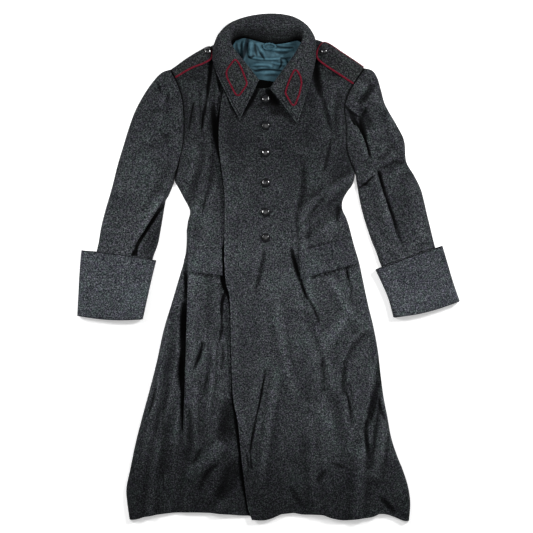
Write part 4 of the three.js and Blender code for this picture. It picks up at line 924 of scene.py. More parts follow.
def tube(path: Array, radius: float, closed: bool = False, sides: int = 10) -> Surface:
    """A round cord along a path: a circle in the plane across the path at each point.

    Args:
        path: the points of its middle line.
        radius: the cord's radius.
        closed: whether the path returns to its start.
        sides: points round the cord.

    Returns:
        The closed surface, with domed ends where the path is open.
    """
    way = unit(ways_along(path, closed))
    side = unit(np.cross(UP, way))
    rise = np.cross(way, side)
    turn = np.linspace(0, 2 * math.pi, sides, endpoint=False)
    circle = np.cos(turn)[None, :, None] * side[:, None] + np.sin(turn)[None, :, None] * rise[:, None]
    size, centre = np.full(len(path), radius), path
    if not closed:
        before, after = path[0] - way[0] * radius * DOME_REACH, path[-1] + way[-1] * radius * DOME_REACH
        centre = np.concatenate([[before], path, [after]])
        circle = np.concatenate([circle[:1], circle, circle[-1:]])
        size = np.r_[DOME_TIP * radius, size, DOME_TIP * radius]
    points = (centre[:, None] + size[:, None, None] * circle).reshape(-1, 3)
    number = len(points)
    quads = grid_quads(len(centre) + (1 if closed else 0), sides, True) % number
    if not closed:
        points = np.concatenate([points, centre[:1], centre[-1:]])
        caps = [fan(number, 0, sides)[:, ::-1], fan(number + 1, number - sides, sides)]
        quads = np.concatenate([quads, *caps])
    return Surface(points, quads).faced_out()


def joined(surfaces: list[Surface]) -> Surface:
    """Several surfaces as one."""
    starts = np.cumsum([0] + [len(s.points) for s in surfaces[:-1]])
    quads = [s.quads + start for s, start in zip(surfaces, starts)]
    return Surface(np.concatenate([s.points for s in surfaces]), np.concatenate(quads))


def resting_height(under: Array, x: Array, y: Array, reach: float) -> Array:
    """Height of the highest point of some cloth near each place.

    A point of the cloth counts in full where it is and less by the square of its distance over
    the reach, so the result is the cloth's upper hull, rounded.

    Args:
        under: points of the cloth's upper side, in any shape that ends in xyz.
        x: the places' x.
        y: the places' y.
        reach: the radius of the rounding.

    Returns:
        The height at each place.
    """
    flat = under.reshape(-1, 3)
    margin = 3 * reach
    near = (
        (flat[:, 0] > x.min() - margin) & (flat[:, 0] < x.max() + margin)
        & (flat[:, 1] > y.min() - margin) & (flat[:, 1] < y.max() + margin)
    )
    flat = flat[near]
    places = np.stack([x.ravel(), y.ravel()], -1)
    tops = [
        (flat[:, 2] - ((flat[:, :2] - p[:, None]) ** 2).sum(-1) / (2 * reach)).max(1)
        for p in np.array_split(places, max(1, len(places) // 200))
    ]
    return np.concatenate(tops).reshape(x.shape)


def upper_side(grid: Array, thickness: float) -> Array:
    """The upper face of a wall: its middle, moved up half the thickness along its normal."""
    normal, _, _ = grid_normals(grid, False)
    facing = np.where(normal[..., 2:] < 0, -1.0, 1.0)
    return grid + thickness / 2 * normal * facing


def linear(hex_colour: str) -> tuple[float, float, float, float]:
    """Turns an sRGB hex colour to linear red, green, blue and full alpha."""
    parts = [int(hex_colour[k : k + 2], 16) / 255 for k in (1, 3, 5)]
    return (*(c / 12.92 if c <= 0.04045 else ((c + 0.055) / 1.055) ** 2.4 for c in parts), 1.0)


def add_node(tree: Tree, kind: str, links: dict | None = None, **settings) -> bpy.types.Node:
    """Adds a node, sets its settings and its inputs' values, and links sockets into it.

    Args:
        tree: the material's node tree.
        kind: the node's type name.
        links: for an input's name or number, the socket or value that goes into it.
        settings: properties of the node itself.

    Returns:
        The node.
    """
    node = tree.nodes.new(kind)
    for name, value in settings.items():
        setattr(node, name, value)
    for name, value in (links or {}).items():
        if isinstance(value, Socket):
            tree.links.new(value, node.inputs[name])
        else:
            node.inputs[name].default_value = value
    return node


def noise(tree: Tree, place: Socket, size_mm: float, detail: float, roughness: float = 0.6) -> Socket:
    """A noise pattern, from 0 to 1, whose spots have a size in millimetres."""
    return add_node(tree, "ShaderNodeTexNoise", {
        "Vector": place, "Scale": 1 / (size_mm * MM), "Detail": detail, "Roughness": roughness,
    }).outputs["Fac"]


def bands(tree: Tree, place: Socket, thread_mm: float, distortion: float) -> Socket:
    """Slanting bands, from 0 to 1, nearly three times as wide as the threads, so that they show."""
    return add_node(tree, "ShaderNodeTexWave", {
        "Vector": place, "Scale": 0.5 / (thread_mm * MM) / 3.14, "Distortion": distortion,
    }, bands_direction="DIAGONAL").outputs["Fac"]


def relief(tree: Tree, height: Socket, strength: float, depth_mm: float) -> Socket:
    """Normals of a relief that is some millimetres deep."""
    return add_node(tree, "ShaderNodeBump", {
        "Strength": strength, "Distance": depth_mm * MM, "Height": height,
    }).outputs["Normal"]


def ramp(tree: Tree, factor: Socket, stops: list[tuple[float, str]]) -> Socket:
    """Colours by a factor: each stop is a place and a hex colour.

    Args:
        tree: the material's node tree.
        factor: the socket that is read.
        stops: places from 0 to 1 with their colours.

    Returns:
        The colour socket.
    """
    node = add_node(tree, "ShaderNodeValToRGB", {"Fac": factor})
    elements = node.color_ramp.elements
    while len(elements) < len(stops):
        elements.new(0.5)
    for element, (place, colour) in zip(elements, stops):
        element.position = place
        element.color = linear(colour)
    return node.outputs["Color"]


def blend(tree: Tree, kind: str, factor: float, a: Socket, b: Socket) -> Socket:
    """Mixes two colours in one of the ways that a Mix node has."""
    node = add_node(tree, "ShaderNodeMix", data_type="RGBA", blend_type=kind)
    for name, value in (("Factor", factor), ("A", a), ("B", b)):
        socket = next(s for s in node.inputs if s.name == name and (
            s.type == ("VALUE" if name == "Factor" else "RGBA")))
        if isinstance(value, Socket):
            tree.links.new(value, socket)
        else:
            socket.default_value = value
    return next(s for s in node.outputs if s.type == "RGBA")


def darken_painted_shade(
    tree: Tree, colour: Socket, shade: str = "#464646", deepest: str = "#060606",
) -> Socket:
    """Paints shade and light on a cloth's colour by its "painted_shade" attribute: darker in folds and
    creases.

    Args:
        tree: the material's node tree.
        colour: the cloth's colour.
        shade: what the colour is multiplied by in a deep fold.
        deepest: what it is multiplied by at the bottom of a crease.

    Returns:
        The darkened colour.
    """
    painted_shade = add_node(tree, "ShaderNodeAttribute", attribute_name="painted_shade").outputs["Fac"]
    # White paints a highlight on ridges; the darker stops paint shade in folds, creases and shadows
    return blend(tree, "MULTIPLY", 1.0, colour, ramp(tree, painted_shade, [
        (0.0, "#ffffff"), (NEUTRAL, "#d8d8d8"), (0.45, "#8c8c8c"), (0.75, shade), (0.97, deepest),
    ]))


@dataclass(frozen=True)
class Stuff:
    """What a piece is made of: its material's name, its word in piece names, and its slot."""

    name: str
    word: str = "melton"
    slot: str = "wool"

    def build(self) -> bpy.types.Material:
        """Makes the material: its pattern's settings go into one shader.

        Returns:
            The material.
        """
        material = bpy.data.materials.new(self.name)
        material.use_nodes = True
        tree = material.node_tree
        tree.nodes.clear()
        place = add_node(tree, "ShaderNodeTexCoord").outputs["Object"]
        shader = add_node(tree, "ShaderNodeBsdfPrincipled", self.settings(tree, place))
        add_node(tree, "ShaderNodeOutputMaterial", {"Surface": shader.outputs["BSDF"]})
        return material

    def settings(self, tree: Tree, place: Socket) -> dict:
        """What goes into the shader's inputs.

        Args:
            tree: the material's node tree.
            place: the object coordinates.

        Returns:
            A value or a socket for each input's name.
        """
        raise NotImplementedError


@dataclass(frozen=True)
class MeltonWool(Stuff):
    """Melton: carded wool woven and milled to a dense felt, spun from black, grey and white fibres.

    The eye sees a matt, dark cloth with salt-and-pepper grain. The fibres are 0.02 mm, far too
    fine to show, so the grain is drawn as coarse as the flecks that the eye picks out.
    """

    black: str = "#121417"
    dark: str = "#2c2e31"
    grey: str = "#505357"
    pale: str = "#94989d"
    fleck_mm: float = 3.4
    fine_mm: float = 2.2
    cloud_mm: float = 70.0
    dye_mm: float = 9.0
    hem_tilt: float = 0.18
    half_length_m: float = 0.62
    chest_shade: str = "#acacac"

    def settings(self, tree: Tree, place: Socket) -> dict:
        """Flecks of two sizes, clouds of wear, a faint change of dye, and painted light and shade."""
        flecks = noise(tree, place, self.fleck_mm, 3.0, 0.72)
        fine = noise(tree, place, self.fine_mm, 2.0)
        both = add_node(tree, "ShaderNodeMath", {0: flecks, 1: fine}, operation="ADD").outputs[0]
        half = add_node(tree, "ShaderNodeMath", {0: both, 1: 0.5}, operation="MULTIPLY").outputs[0]
        melange = ramp(tree, half, [
            (0.37, self.black), (0.46, self.dark), (0.53, self.grey), (0.64, self.pale),
        ])
        wear_and_highlight = ramp(tree, noise(tree, place, self.cloud_mm, 2.0, 0.5), [
            (0.3, "#d3d3d6"), (0.52, "#ededed"), (0.7, "#f7fffb"),
        ])
        dyed = ramp(tree, noise(tree, place, self.dye_mm, 2.0), [
            (0.34, "#f8efff"), (0.5, "#fbfbfb"), (0.66, "#effff5"),
        ])
        colour = blend(tree, "MULTIPLY", 1.0, blend(tree, "MULTIPLY", 1.0, melange, wear_and_highlight), dyed)
        return {
            "Base Color": darken_painted_shade(tree, self.fade(tree, place, colour)), "Roughness": 0.96,
            "Normal": relief(tree, half, 0.35, 0.7), "Specular IOR Level": 0.05,
            "Sheen Weight": 0.015, "Sheen Roughness": 0.6,
        }

    def fade(self, tree: Tree, place: Socket, colour: Socket) -> Socket:
        """Paints light along the length: brightest over the lap, painted shade over the chest and the hem.

        The dark hem reaches higher on the wearer's right, by the tilt times the way across.

        Args:
            tree: the material's node tree.
            place: the object coordinates.
            colour: the cloth's colour.

        Returns:
            The shaded colour.
        """
        apart = add_node(tree, "ShaderNodeSeparateXYZ", {"Vector": place}).outputs
        tilted = add_node(tree, "ShaderNodeMath", {
            0: apart["X"], 1: self.hem_tilt, 2: apart["Y"],
        }, operation="MULTIPLY_ADD").outputs[0]
        share = add_node(tree, "ShaderNodeMapRange", {
            "Value": tilted, "From Min": -self.half_length_m, "From Max": self.half_length_m,
        }).outputs["Result"]
        return blend(tree, "MULTIPLY", 1.0, colour, ramp(tree, share, [
            (0.0, "#a2a2a2"), (0.08, "#b2b2b2"), (0.2, "#f2f2f2"), (0.5, "#ffffff"), (0.75, self.chest_shade),
            (1.0, self.chest_shade),
        ]))


@dataclass(frozen=True)
class CottonLining(Stuff):
    """Cotton sateen lining, dyed blue-green: a smooth close weave with a soft gloss.

    Its threads of 0.3 mm are drawn as coarse as needed to show.
    """

    name: str = "cotton_lining"
    word: str = "cotton"
    slot: str = "lining"
    deep: str = "#2f4c58"
    light: str = "#4a6c79"
    thread_mm: float = 1.6

    def settings(self, tree: Tree, place: Socket) -> dict:
        """Uneven dye, the painted shade of the creases, and threads."""
        dyed = ramp(tree, noise(tree, place, 16, 3.0), [(0.3, self.deep), (0.7, self.light)])
        return {
            "Base Color": darken_painted_shade(tree, dyed, "#44565e", "#1c3039"), "Roughness": 0.7,
            "Normal": relief(tree, bands(tree, place, self.thread_mm, 1.0), 0.2, 0.2),
            "Specular IOR Level": 0.15,
        }


@dataclass(frozen=True)
class WoolPiping(Stuff):
    """Piping of dyed wool felt over a cord: matt, deep crimson, with a broken nap."""

    name: str = "wool_piping"
    word: str = "felt"
    slot: str = "piping"
    deep: str = "#3f0c17"
    bright: str = "#701829"

    def settings(self, tree: Tree, place: Socket) -> dict:
        """The nap, drawn as coarse as needed to show."""
        nap = noise(tree, place, 3, 3.0, 0.7)
        return {
            "Base Color": ramp(tree, nap, [(0.35, self.deep), (0.65, self.bright)]), "Roughness": 0.9,
            "Normal": relief(tree, nap, 0.4, 0.3), "Specular IOR Level": 0.08, "Sheen Weight": 0.02,
        }


@dataclass(frozen=True)
class SewingThread(Stuff):
    """Waxed cotton thread, three plies, dark grey to match the wool; it repeats each 0.6 mm."""

    name: str = "sewing_thread"
    word: str = "thread"
    deep: str = "#1b1c1e"
    light: str = "#55585c"
    twist_mm: float = 0.6

    def settings(self, tree: Tree, place: Socket) -> dict:
        """The plies' twist."""
        twist = bands(tree, place, self.twist_mm, 0.6)
        colour = ramp(tree, twist, [(0.2, self.deep), (0.8, self.light)])
        return {"Base Color": colour, "Roughness": 0.6, "Specular IOR Level": 0.3}


@dataclass(frozen=True)
class MouldedButton(Stuff):
    """Moulded phenolic plastic, polished: nearly black, with a hard gloss, slight wear and dents."""

    name: str = "moulded_button"
    word: str = "moulding"
    slot: str = "button"
    body: str = "#08090a"
    wear_and_highlight: str = "#1b1d20"

    def settings(self, tree: Tree, place: Socket) -> dict:
        """Wear, and slight dents that are drawn as coarse as needed to show."""
        wear = noise(tree, place, 4, 4.0)
        gloss = add_node(tree, "ShaderNodeMapRange", {"Value": wear, "To Min": 0.1, "To Max": 0.26})
        normal = relief(tree, noise(tree, place, 7, 1.0, 0.5), 0.6, 2.0)
        return {
            "Base Color": ramp(tree, wear, [(0.4, self.body), (0.75, self.wear_and_highlight)]),
            "Roughness": gloss.outputs["Result"], "Coat Weight": 0.35, "Coat Roughness": 0.08,
            "IOR": 1.55, "Normal": normal, "Coat Normal": normal,
        }


@dataclass(frozen=True)
class BackgroundPaper(Stuff):
    """Matt white background paper: even, with the faintest mottle."""

    name: str = "background_paper"

    def settings(self, tree: Tree, place: Socket) -> dict:
        """A mottle that hardly shows."""
        mottle = add_node(tree, "ShaderNodeTexNoise", {"Vector": place, "Scale": 30.0}).outputs["Fac"]
        return {
            "Base Color": ramp(tree, mottle, [(0.3, "#f4f4f4"), (0.7, "#f7f7f7")]), "Roughness": 1.0,
            "Specular IOR Level": 0.0, "Emission Color": (1.0, 1.0, 1.0, 1.0), "Emission Strength": 0.4,
        }


class Finish(Enum):
    """The finishes of the coat's pieces."""

    WOOL = MeltonWool("melton_wool")
    # Copies with less painted shade over the chest, for the sleeves and the collar
    WOOL_SLEEVE = MeltonWool("melton_wool_sleeve", chest_shade="#cacaca")
    WOOL_COLLAR = MeltonWool("melton_wool_collar", chest_shade="#c6c6c6")
    WOOL_PALE = MeltonWool(
        "melton_wool_reverse", black="#14161a", dark="#33363a", grey="#595d63", pale="#a8acb3",
    )
    WOOL_FACE = MeltonWool(
        "melton_wool_trim", slot="trim_wool",
        black="#131415", dark="#323335", grey="#56585a", pale="#9da0a3",
    )
    WOOL_FLAP = MeltonWool(
        "melton_wool_flap", black="#131518", dark="#2d2f33", grey="#505358", pale="#95999e",
    )
    THREAD = SewingThread()
    LINING = CottonLining()
    PIPING = WoolPiping()
    BUTTON = MouldedButton()

    def material(self) -> bpy.types.Material:
        """The finish's material, made once."""
        return bpy.data.materials.get(self.value.name) or self.value.build()


def add_piece(name: str, surface: Surface, finish: Finish, nodes: tuple[str, ...]) -> bpy.types.Object:
    """Makes one object of the coat from a surface in millimetres.

    Args:
        name: the object's name.
        surface: its closed surface.
        finish: its finish.
        nodes: the CAD nodes that it stands for.

    Returns:
        The object, at the origin, riding on the coat's one body.
    """
    mesh = bpy.data.meshes.new(name)
    mesh.from_pydata((surface.points * MM).tolist(), [], surface.quads.tolist())
    mesh.shade_smooth()
    # The painted shade goes on as a point attribute that the material reads
    if surface.painted_shade is not None:
        shade = mesh.attributes.new("painted_shade", "FLOAT", "POINT")
        shade.data.foreach_set("value", surface.painted_shade.astype(np.float32))
    mesh.materials.append(finish.material())
    piece = bpy.data.objects.new(f"{name}_{finish.value.word}", mesh)
    bpy.context.scene.collection.objects.link(piece)
    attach(piece, "root")
    if nodes:
        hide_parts(*nodes)
    LOG.info("%s: %d faces", name, len(surface.quads))
    return piece


def coons(top: Array, bottom: Array, left: Array, right: Array, u: Array, v: Array) -> Array:
    """Fills in between four borders (a Coons patch), for one coordinate.

    The way from top to bottom and the way from left to right are added, less the way between
    the four corners, which both hold.

    Args:
        top: the coordinate along the first row.
        bottom: the coordinate along the last row.
        left: the coordinate down the first column, as a column.
        right: the coordinate down the last column, as a column.
        u: the share of the way across, from 0 to 1.
        v: the share of the way down, from 0 to 1, as a column.

    Returns:
        The coordinate at each row and column.
    """
    corners = mix(mix(left[0], right[0], u), mix(left[-1], right[-1], u), v)
    return mix(top, bottom, v) + mix(left, right, u) - corners


@dataclass
class FrontPanel:
    """One front of the coat, filled in between four outlines seen from above."""

    name: str
    side: dict
    edge: dict
    neckline: dict
    shoulder: dict
    hem: dict
    armpit_y: float
    sign: int
    laps: dict
    creases: dict
    ripples: Ripples
    flat: tuple[float, float]
    area: float
    rows: int = 246
    columns: int = 176
    fold_scale: float = 2.0
    edge_highlight: float = 0.0
    fullness: float = 4.0
    fullness_width: float = 36.0
    neck_lift: float = 2.5
    side_bell: tuple[float, float] = (14.0, 4.0)
    edge_bell: tuple[float, float] = (8.0, 2.0)
    crease_bell: tuple[float, float] = (9.0, 1.6)
    rows_evened: int = 8
    grid: Array = field(default=None, repr=False)
    painted_shade: Array = field(default=None, repr=False)

    def below_armpit(self, y: Array) -> Array:
        """1 where the side rolls down to the floor, 0 where it is sewn to the sleeve."""
        return 1 - smooth((y - self.armpit_y) / ARMPIT_TURN)

    def swell(self, x: Array, y: Array) -> Array:
        """The cloth stands fuller just inside a rolled side."""
        from_side = np.abs(curve_of(self.side, "y", "x")(y) - x)
        return self.fullness * self.below_armpit(y) * (1 - smooth(from_side / self.fullness_width))

    def neck_rise(self, x: Array, y: Array) -> Array:
        """Both fronts lie on the lining just below the neck."""
        return self.neck_lift * smooth((y - 400) / 25) * (1 - smooth((np.abs(x) - 120) / 40))

    def height(self, x: Array, y: Array, lap_rise: Array) -> Array:
        """Height of the middle of the cloth; each front has its own.

        Args:
            x: the points' x.
            y: the points' y.
            lap_rise: how far the lapped folds lift the cloth.

        Returns:
            The height at each point.
        """
        raise NotImplementedError

    def least(self, x: Array, y: Array) -> Array:
        """The lowest that a crease may reach: on the back."""
        return np.full(x.shape, UNDER_REST)

    def shaded(self, x: Array, y: Array) -> Array:
        """Painted shadow on the cloth where another piece lies close over it."""
        return np.zeros(x.shape)

    def close_spots(self, width: float, a: tuple, b: tuple) -> list:
        """Where a row's columns stand closer: at its two ends and at the creases it crosses."""
        places = crease_places(self.creases, mix(a[1], b[1], 0.5))
        shares = [(place - a[0]) / (b[0] - a[0]) for place in places]
        spots = [(1.0, self.side_bell), (0.0, self.edge_bell)] + [(s, self.crease_bell) for s in shares]
        return [(spot, reach / width, size) for spot, (reach, size) in spots]

    def shares_across(self, width: Array, edge: tuple, side: tuple) -> Array:
        """Places across each row, closer where the cloth bends, and evened from row to row.

        Args:
            width: the width of each row.
            edge: the x and the y of each row's start.
            side: the x and the y of each row's end.

        Returns:
            The places from 0 to 1, as rows and columns.
        """
        shares = np.stack([
            spread(self.columns, self.close_spots(w, a, b)) for w, a, b in zip(width, zip(*edge), zip(*side))
        ])
        even = np.ones(2 * self.rows_evened + 1) / (2 * self.rows_evened + 1)
        padded = np.pad(shares, ((self.rows_evened,) * 2, (0, 0)), mode="edge")
        return np.stack([np.convolve(column, even, "valid") for column in padded.T], -1)

    def build_grid(self) -> Array:
        """Fills in between the outlines and lifts the cloth to its heights.

        Returns:
            The middle of the cloth as rows, columns, xyz.
        """
        neck, top, bottom = PlanLine(self.neckline), PlanLine(self.shoulder), PlanLine(self.hem)
        neck_share = neck.length / (neck.length + top.length)
        length = abs(self.side["y"][0] - self.side["y"][-1])
        v = spread(self.rows, [(0.0, 12 / length, 4.0), (1.0, 10 / length, 2.0)])
        edge_y, side_y = (mix(line["y"][0], line["y"][-1], v) for line in (self.edge, self.side))
        ex = curve_of(self.edge, "y", "x")(edge_y)
        sx = curve_of(self.side, "y", "x")(side_y) - self.sign * HALF * self.below_armpit(side_y)
        width = np.hypot(sx - ex, side_y - edge_y)
        u, v = self.shares_across(width, (ex, edge_y), (sx, side_y)), v[:, None]

        def top_at(share: Array) -> tuple[Array, Array]:
            """The neckline, then the shoulder."""
            on_neck = neck.at(share / neck_share)
            on_shoulder = top.at((share - neck_share) / (1 - neck_share))
            return tuple(np.where(share < neck_share, n, s) for n, s in zip(on_neck, on_shoulder))

        x, y = (
            coons(first, last, left[:, None], right[:, None], u, v)
            for first, last, left, right in zip(top_at(u), bottom.at(u), (ex, edge_y), (sx, side_y))
        )
        closed = self.below_armpit(side_y)[:, None]
        from_edge, from_seam = u * width[:, None], (1 - u) * width[:, None]
        side_roll = mix(1.0, roll_down(from_seam, SIDE_ROLL), closed)
        shoulder_roll = mix(1.0, roll_down(v * length, SIDE_ROLL), smooth((u - neck_share) / 0.12))
        move_x, move_y, rise, tucked = lap_over(self.laps, x, y)
        seam_dip = SEAM_DIP * (1 - closed) * (1 - smooth(from_seam / 7))
        # Painted shade in creases, in the armhole seam's groove, under pieces close above and under lapped
        # folds
        depth, painted_shade = crease_field(self.creases, x, y)
        seam_line = (1 - closed) * bell(from_seam, 2.2)
        painted_shade = layered(painted_shade, SEAM_DARK * seam_line, self.shaded(x, y), tucked)
        height = self.height(x, y, rise)
        height = np.maximum(height - depth, np.minimum(height, self.least(x, y))) - seam_dip
        z = height * side_roll * shoulder_roll
        # A painted highlight along the free edge
        self.painted_shade = painted_fold_shade(painted_shade, height) * (1 - self.edge_highlight * bell(from_edge, 1.8))
        self.grid = np.stack([x + move_x, y + move_y, z], -1)
        return self.grid

    def build(self) -> None:
        """Makes the front's mesh and dresses it."""
        surface = wall(self.build_grid(), MELTON, painted_shade=self.painted_shade)
        piece = add_piece(self.name, surface, Finish.WOOL, (self.name,))


@dataclass
class RightFront(FrontPanel):
    """The front that lies on the back and under the left front."""

    def height(self, x: Array, y: Array, lap_rise: Array) -> Array:
        """Flat under the left front's edge, lofted and folded where it shows."""
        edge = curve_of(LEFT_FREE_EDGE, "y", "x")(y)
        free = smooth((edge - 4 - x) / 26)
        folds = self.fold_scale * fold_height(RIGHT_FOLDS, x, y)
        loft = 4 + folds + lap_rise + self.ripples.at(x, y)
        collar_rise = 3 * smooth((y - 470) / 70) * smooth((-60 - x) / 40) + self.neck_rise(x, y)
        return UNDER_REST + free * np.maximum(0, soft_floor(loft, 0.4)) + collar_rise + self.swell(x, y)

    def shaded(self, x: Array, y: Array) -> Array:
        """Painted shadow just outside the left front's free edge, and under it."""
        edge = curve_of(LEFT_FREE_EDGE, "y", "x")(y)
        width = curve_of(EDGE_SHADE, "y", "width")(y)
        return 0.97 * smooth((x - edge + width + 1) / 3)


@dataclass
class LeftFront(FrontPanel):
    """The front that lies on top, with its free edge over the right front."""

    def height(self, x: Array, y: Array, lap_rise: Array) -> Array:
        """Lies on the right front as far as that reaches, then on the back."""
        edge = curve_of(LEFT_FREE_EDGE, "y", "x")(y)
        lift = curve_of(EDGE_LIFT, "y", "height")(y) * (1 - smooth((x - edge) / 34))
        folds = self.fold_scale * fold_height(LEFT_FOLDS, x, y)
        loft = OVER_REST + 1 + folds + lift + lap_rise + self.ripples.at(x, y)
        collar_rise = 3 * smooth((y - 440) / 90) * smooth((x - 20) / 60) + self.neck_rise(x, y)
        return soft_floor(loft, self.least(x, y)) + collar_rise + self.swell(x, y)

    def least(self, x: Array, y: Array) -> Array:
        """The lowest that a crease may reach: on the right front, then on the back."""
        lap = curve_of(RIGHT_LAP, "y", "x")(y)
        return mix(OVER_REST, UNDER_REST, smooth((x - lap - 12) / 30)) + SEAM


@dataclass
class Back:
    """The plain back, flat on the floor inside the rolled fronts."""

    flat: tuple[float, float] = (0.68, 1.17)
    area: float = 0.60
    neck_spread: float = 1.12
    neck_reach: float = 22.0
    neck_dark: float = 0.96
    rows: int = 150
    columns: int = 60

    def outline(self) -> tuple[Array, list[int]]:
        """The back's outline from the right shoulder round, and the numbers of its corners."""
        def samples(rows: dict, count: int) -> Array:
            """Even points along a table's line."""
            return np.stack(PlanLine(rows).at(np.linspace(0, 1, count)), -1)

        # The neck's edge is hidden below the collar's foot, beyond the lining's
        neck = np.stack([LINING_TOP["x"] * self.neck_spread, LINING_TOP["y"] + self.neck_reach], -1)
        top = np.concatenate([samples(RIGHT_SHOULDER, 12)[:0:-1], neck, samples(LEFT_SHOULDER, 12)[2:]])
        left = samples(LEFT_SIDE, 90)[1:]
        right = samples(RIGHT_SIDE, 90)[:0:-1]
        hem = np.concatenate([samples(LEFT_HEM, 20)[:0:-1], samples(RIGHT_HEM, 20)[8:]])
        parts = [top, left, hem[1:], right[1:]]
        return np.concatenate(parts), list(np.cumsum([len(p) for p in parts]))

    def build(self) -> None:
        """Fills in the inset outline and makes the mesh."""
        points, (shoulder_end, left_end, hem_end, _) = self.outline()
        way = ways_along(points, True)
        points = points + unit(np.stack([way[:, 1], -way[:, 0]], -1)) * BACK_INSET
        points = np.concatenate([points, points[:1]])
        top, left, hem, right = (
            PlanLine({"x": p[:, 0], "y": p[:, 1]}, smoothed=False)
            for p in (
                points[:shoulder_end], points[shoulder_end - 1 : left_end],
                points[left_end - 1 : hem_end][::-1], points[hem_end - 1 :][::-1],
            )
        )
        u, v = np.linspace(0, 1, self.columns)[None, :], np.linspace(0, 1, self.rows)[:, None]
        borders = zip(top.at(u), hem.at(u), right.at(v), left.at(v))
        plan = [coons(*border, u, v) for border in borders]
        grid = np.stack([*plan, np.full(plan[0].shape, HALF)], -1)
        # Painted shade, nearly black, inside the neck under the collar
        in_neck = smooth((grid[..., 1] - 500) / 15) * smooth((115 - np.abs(grid[..., 0])) / 15)
        shade = mix(NEUTRAL, self.neck_dark, in_neck)
        piece = add_piece("back", wall(grid, MELTON, painted_shade=shade), Finish.WOOL, ("back",))


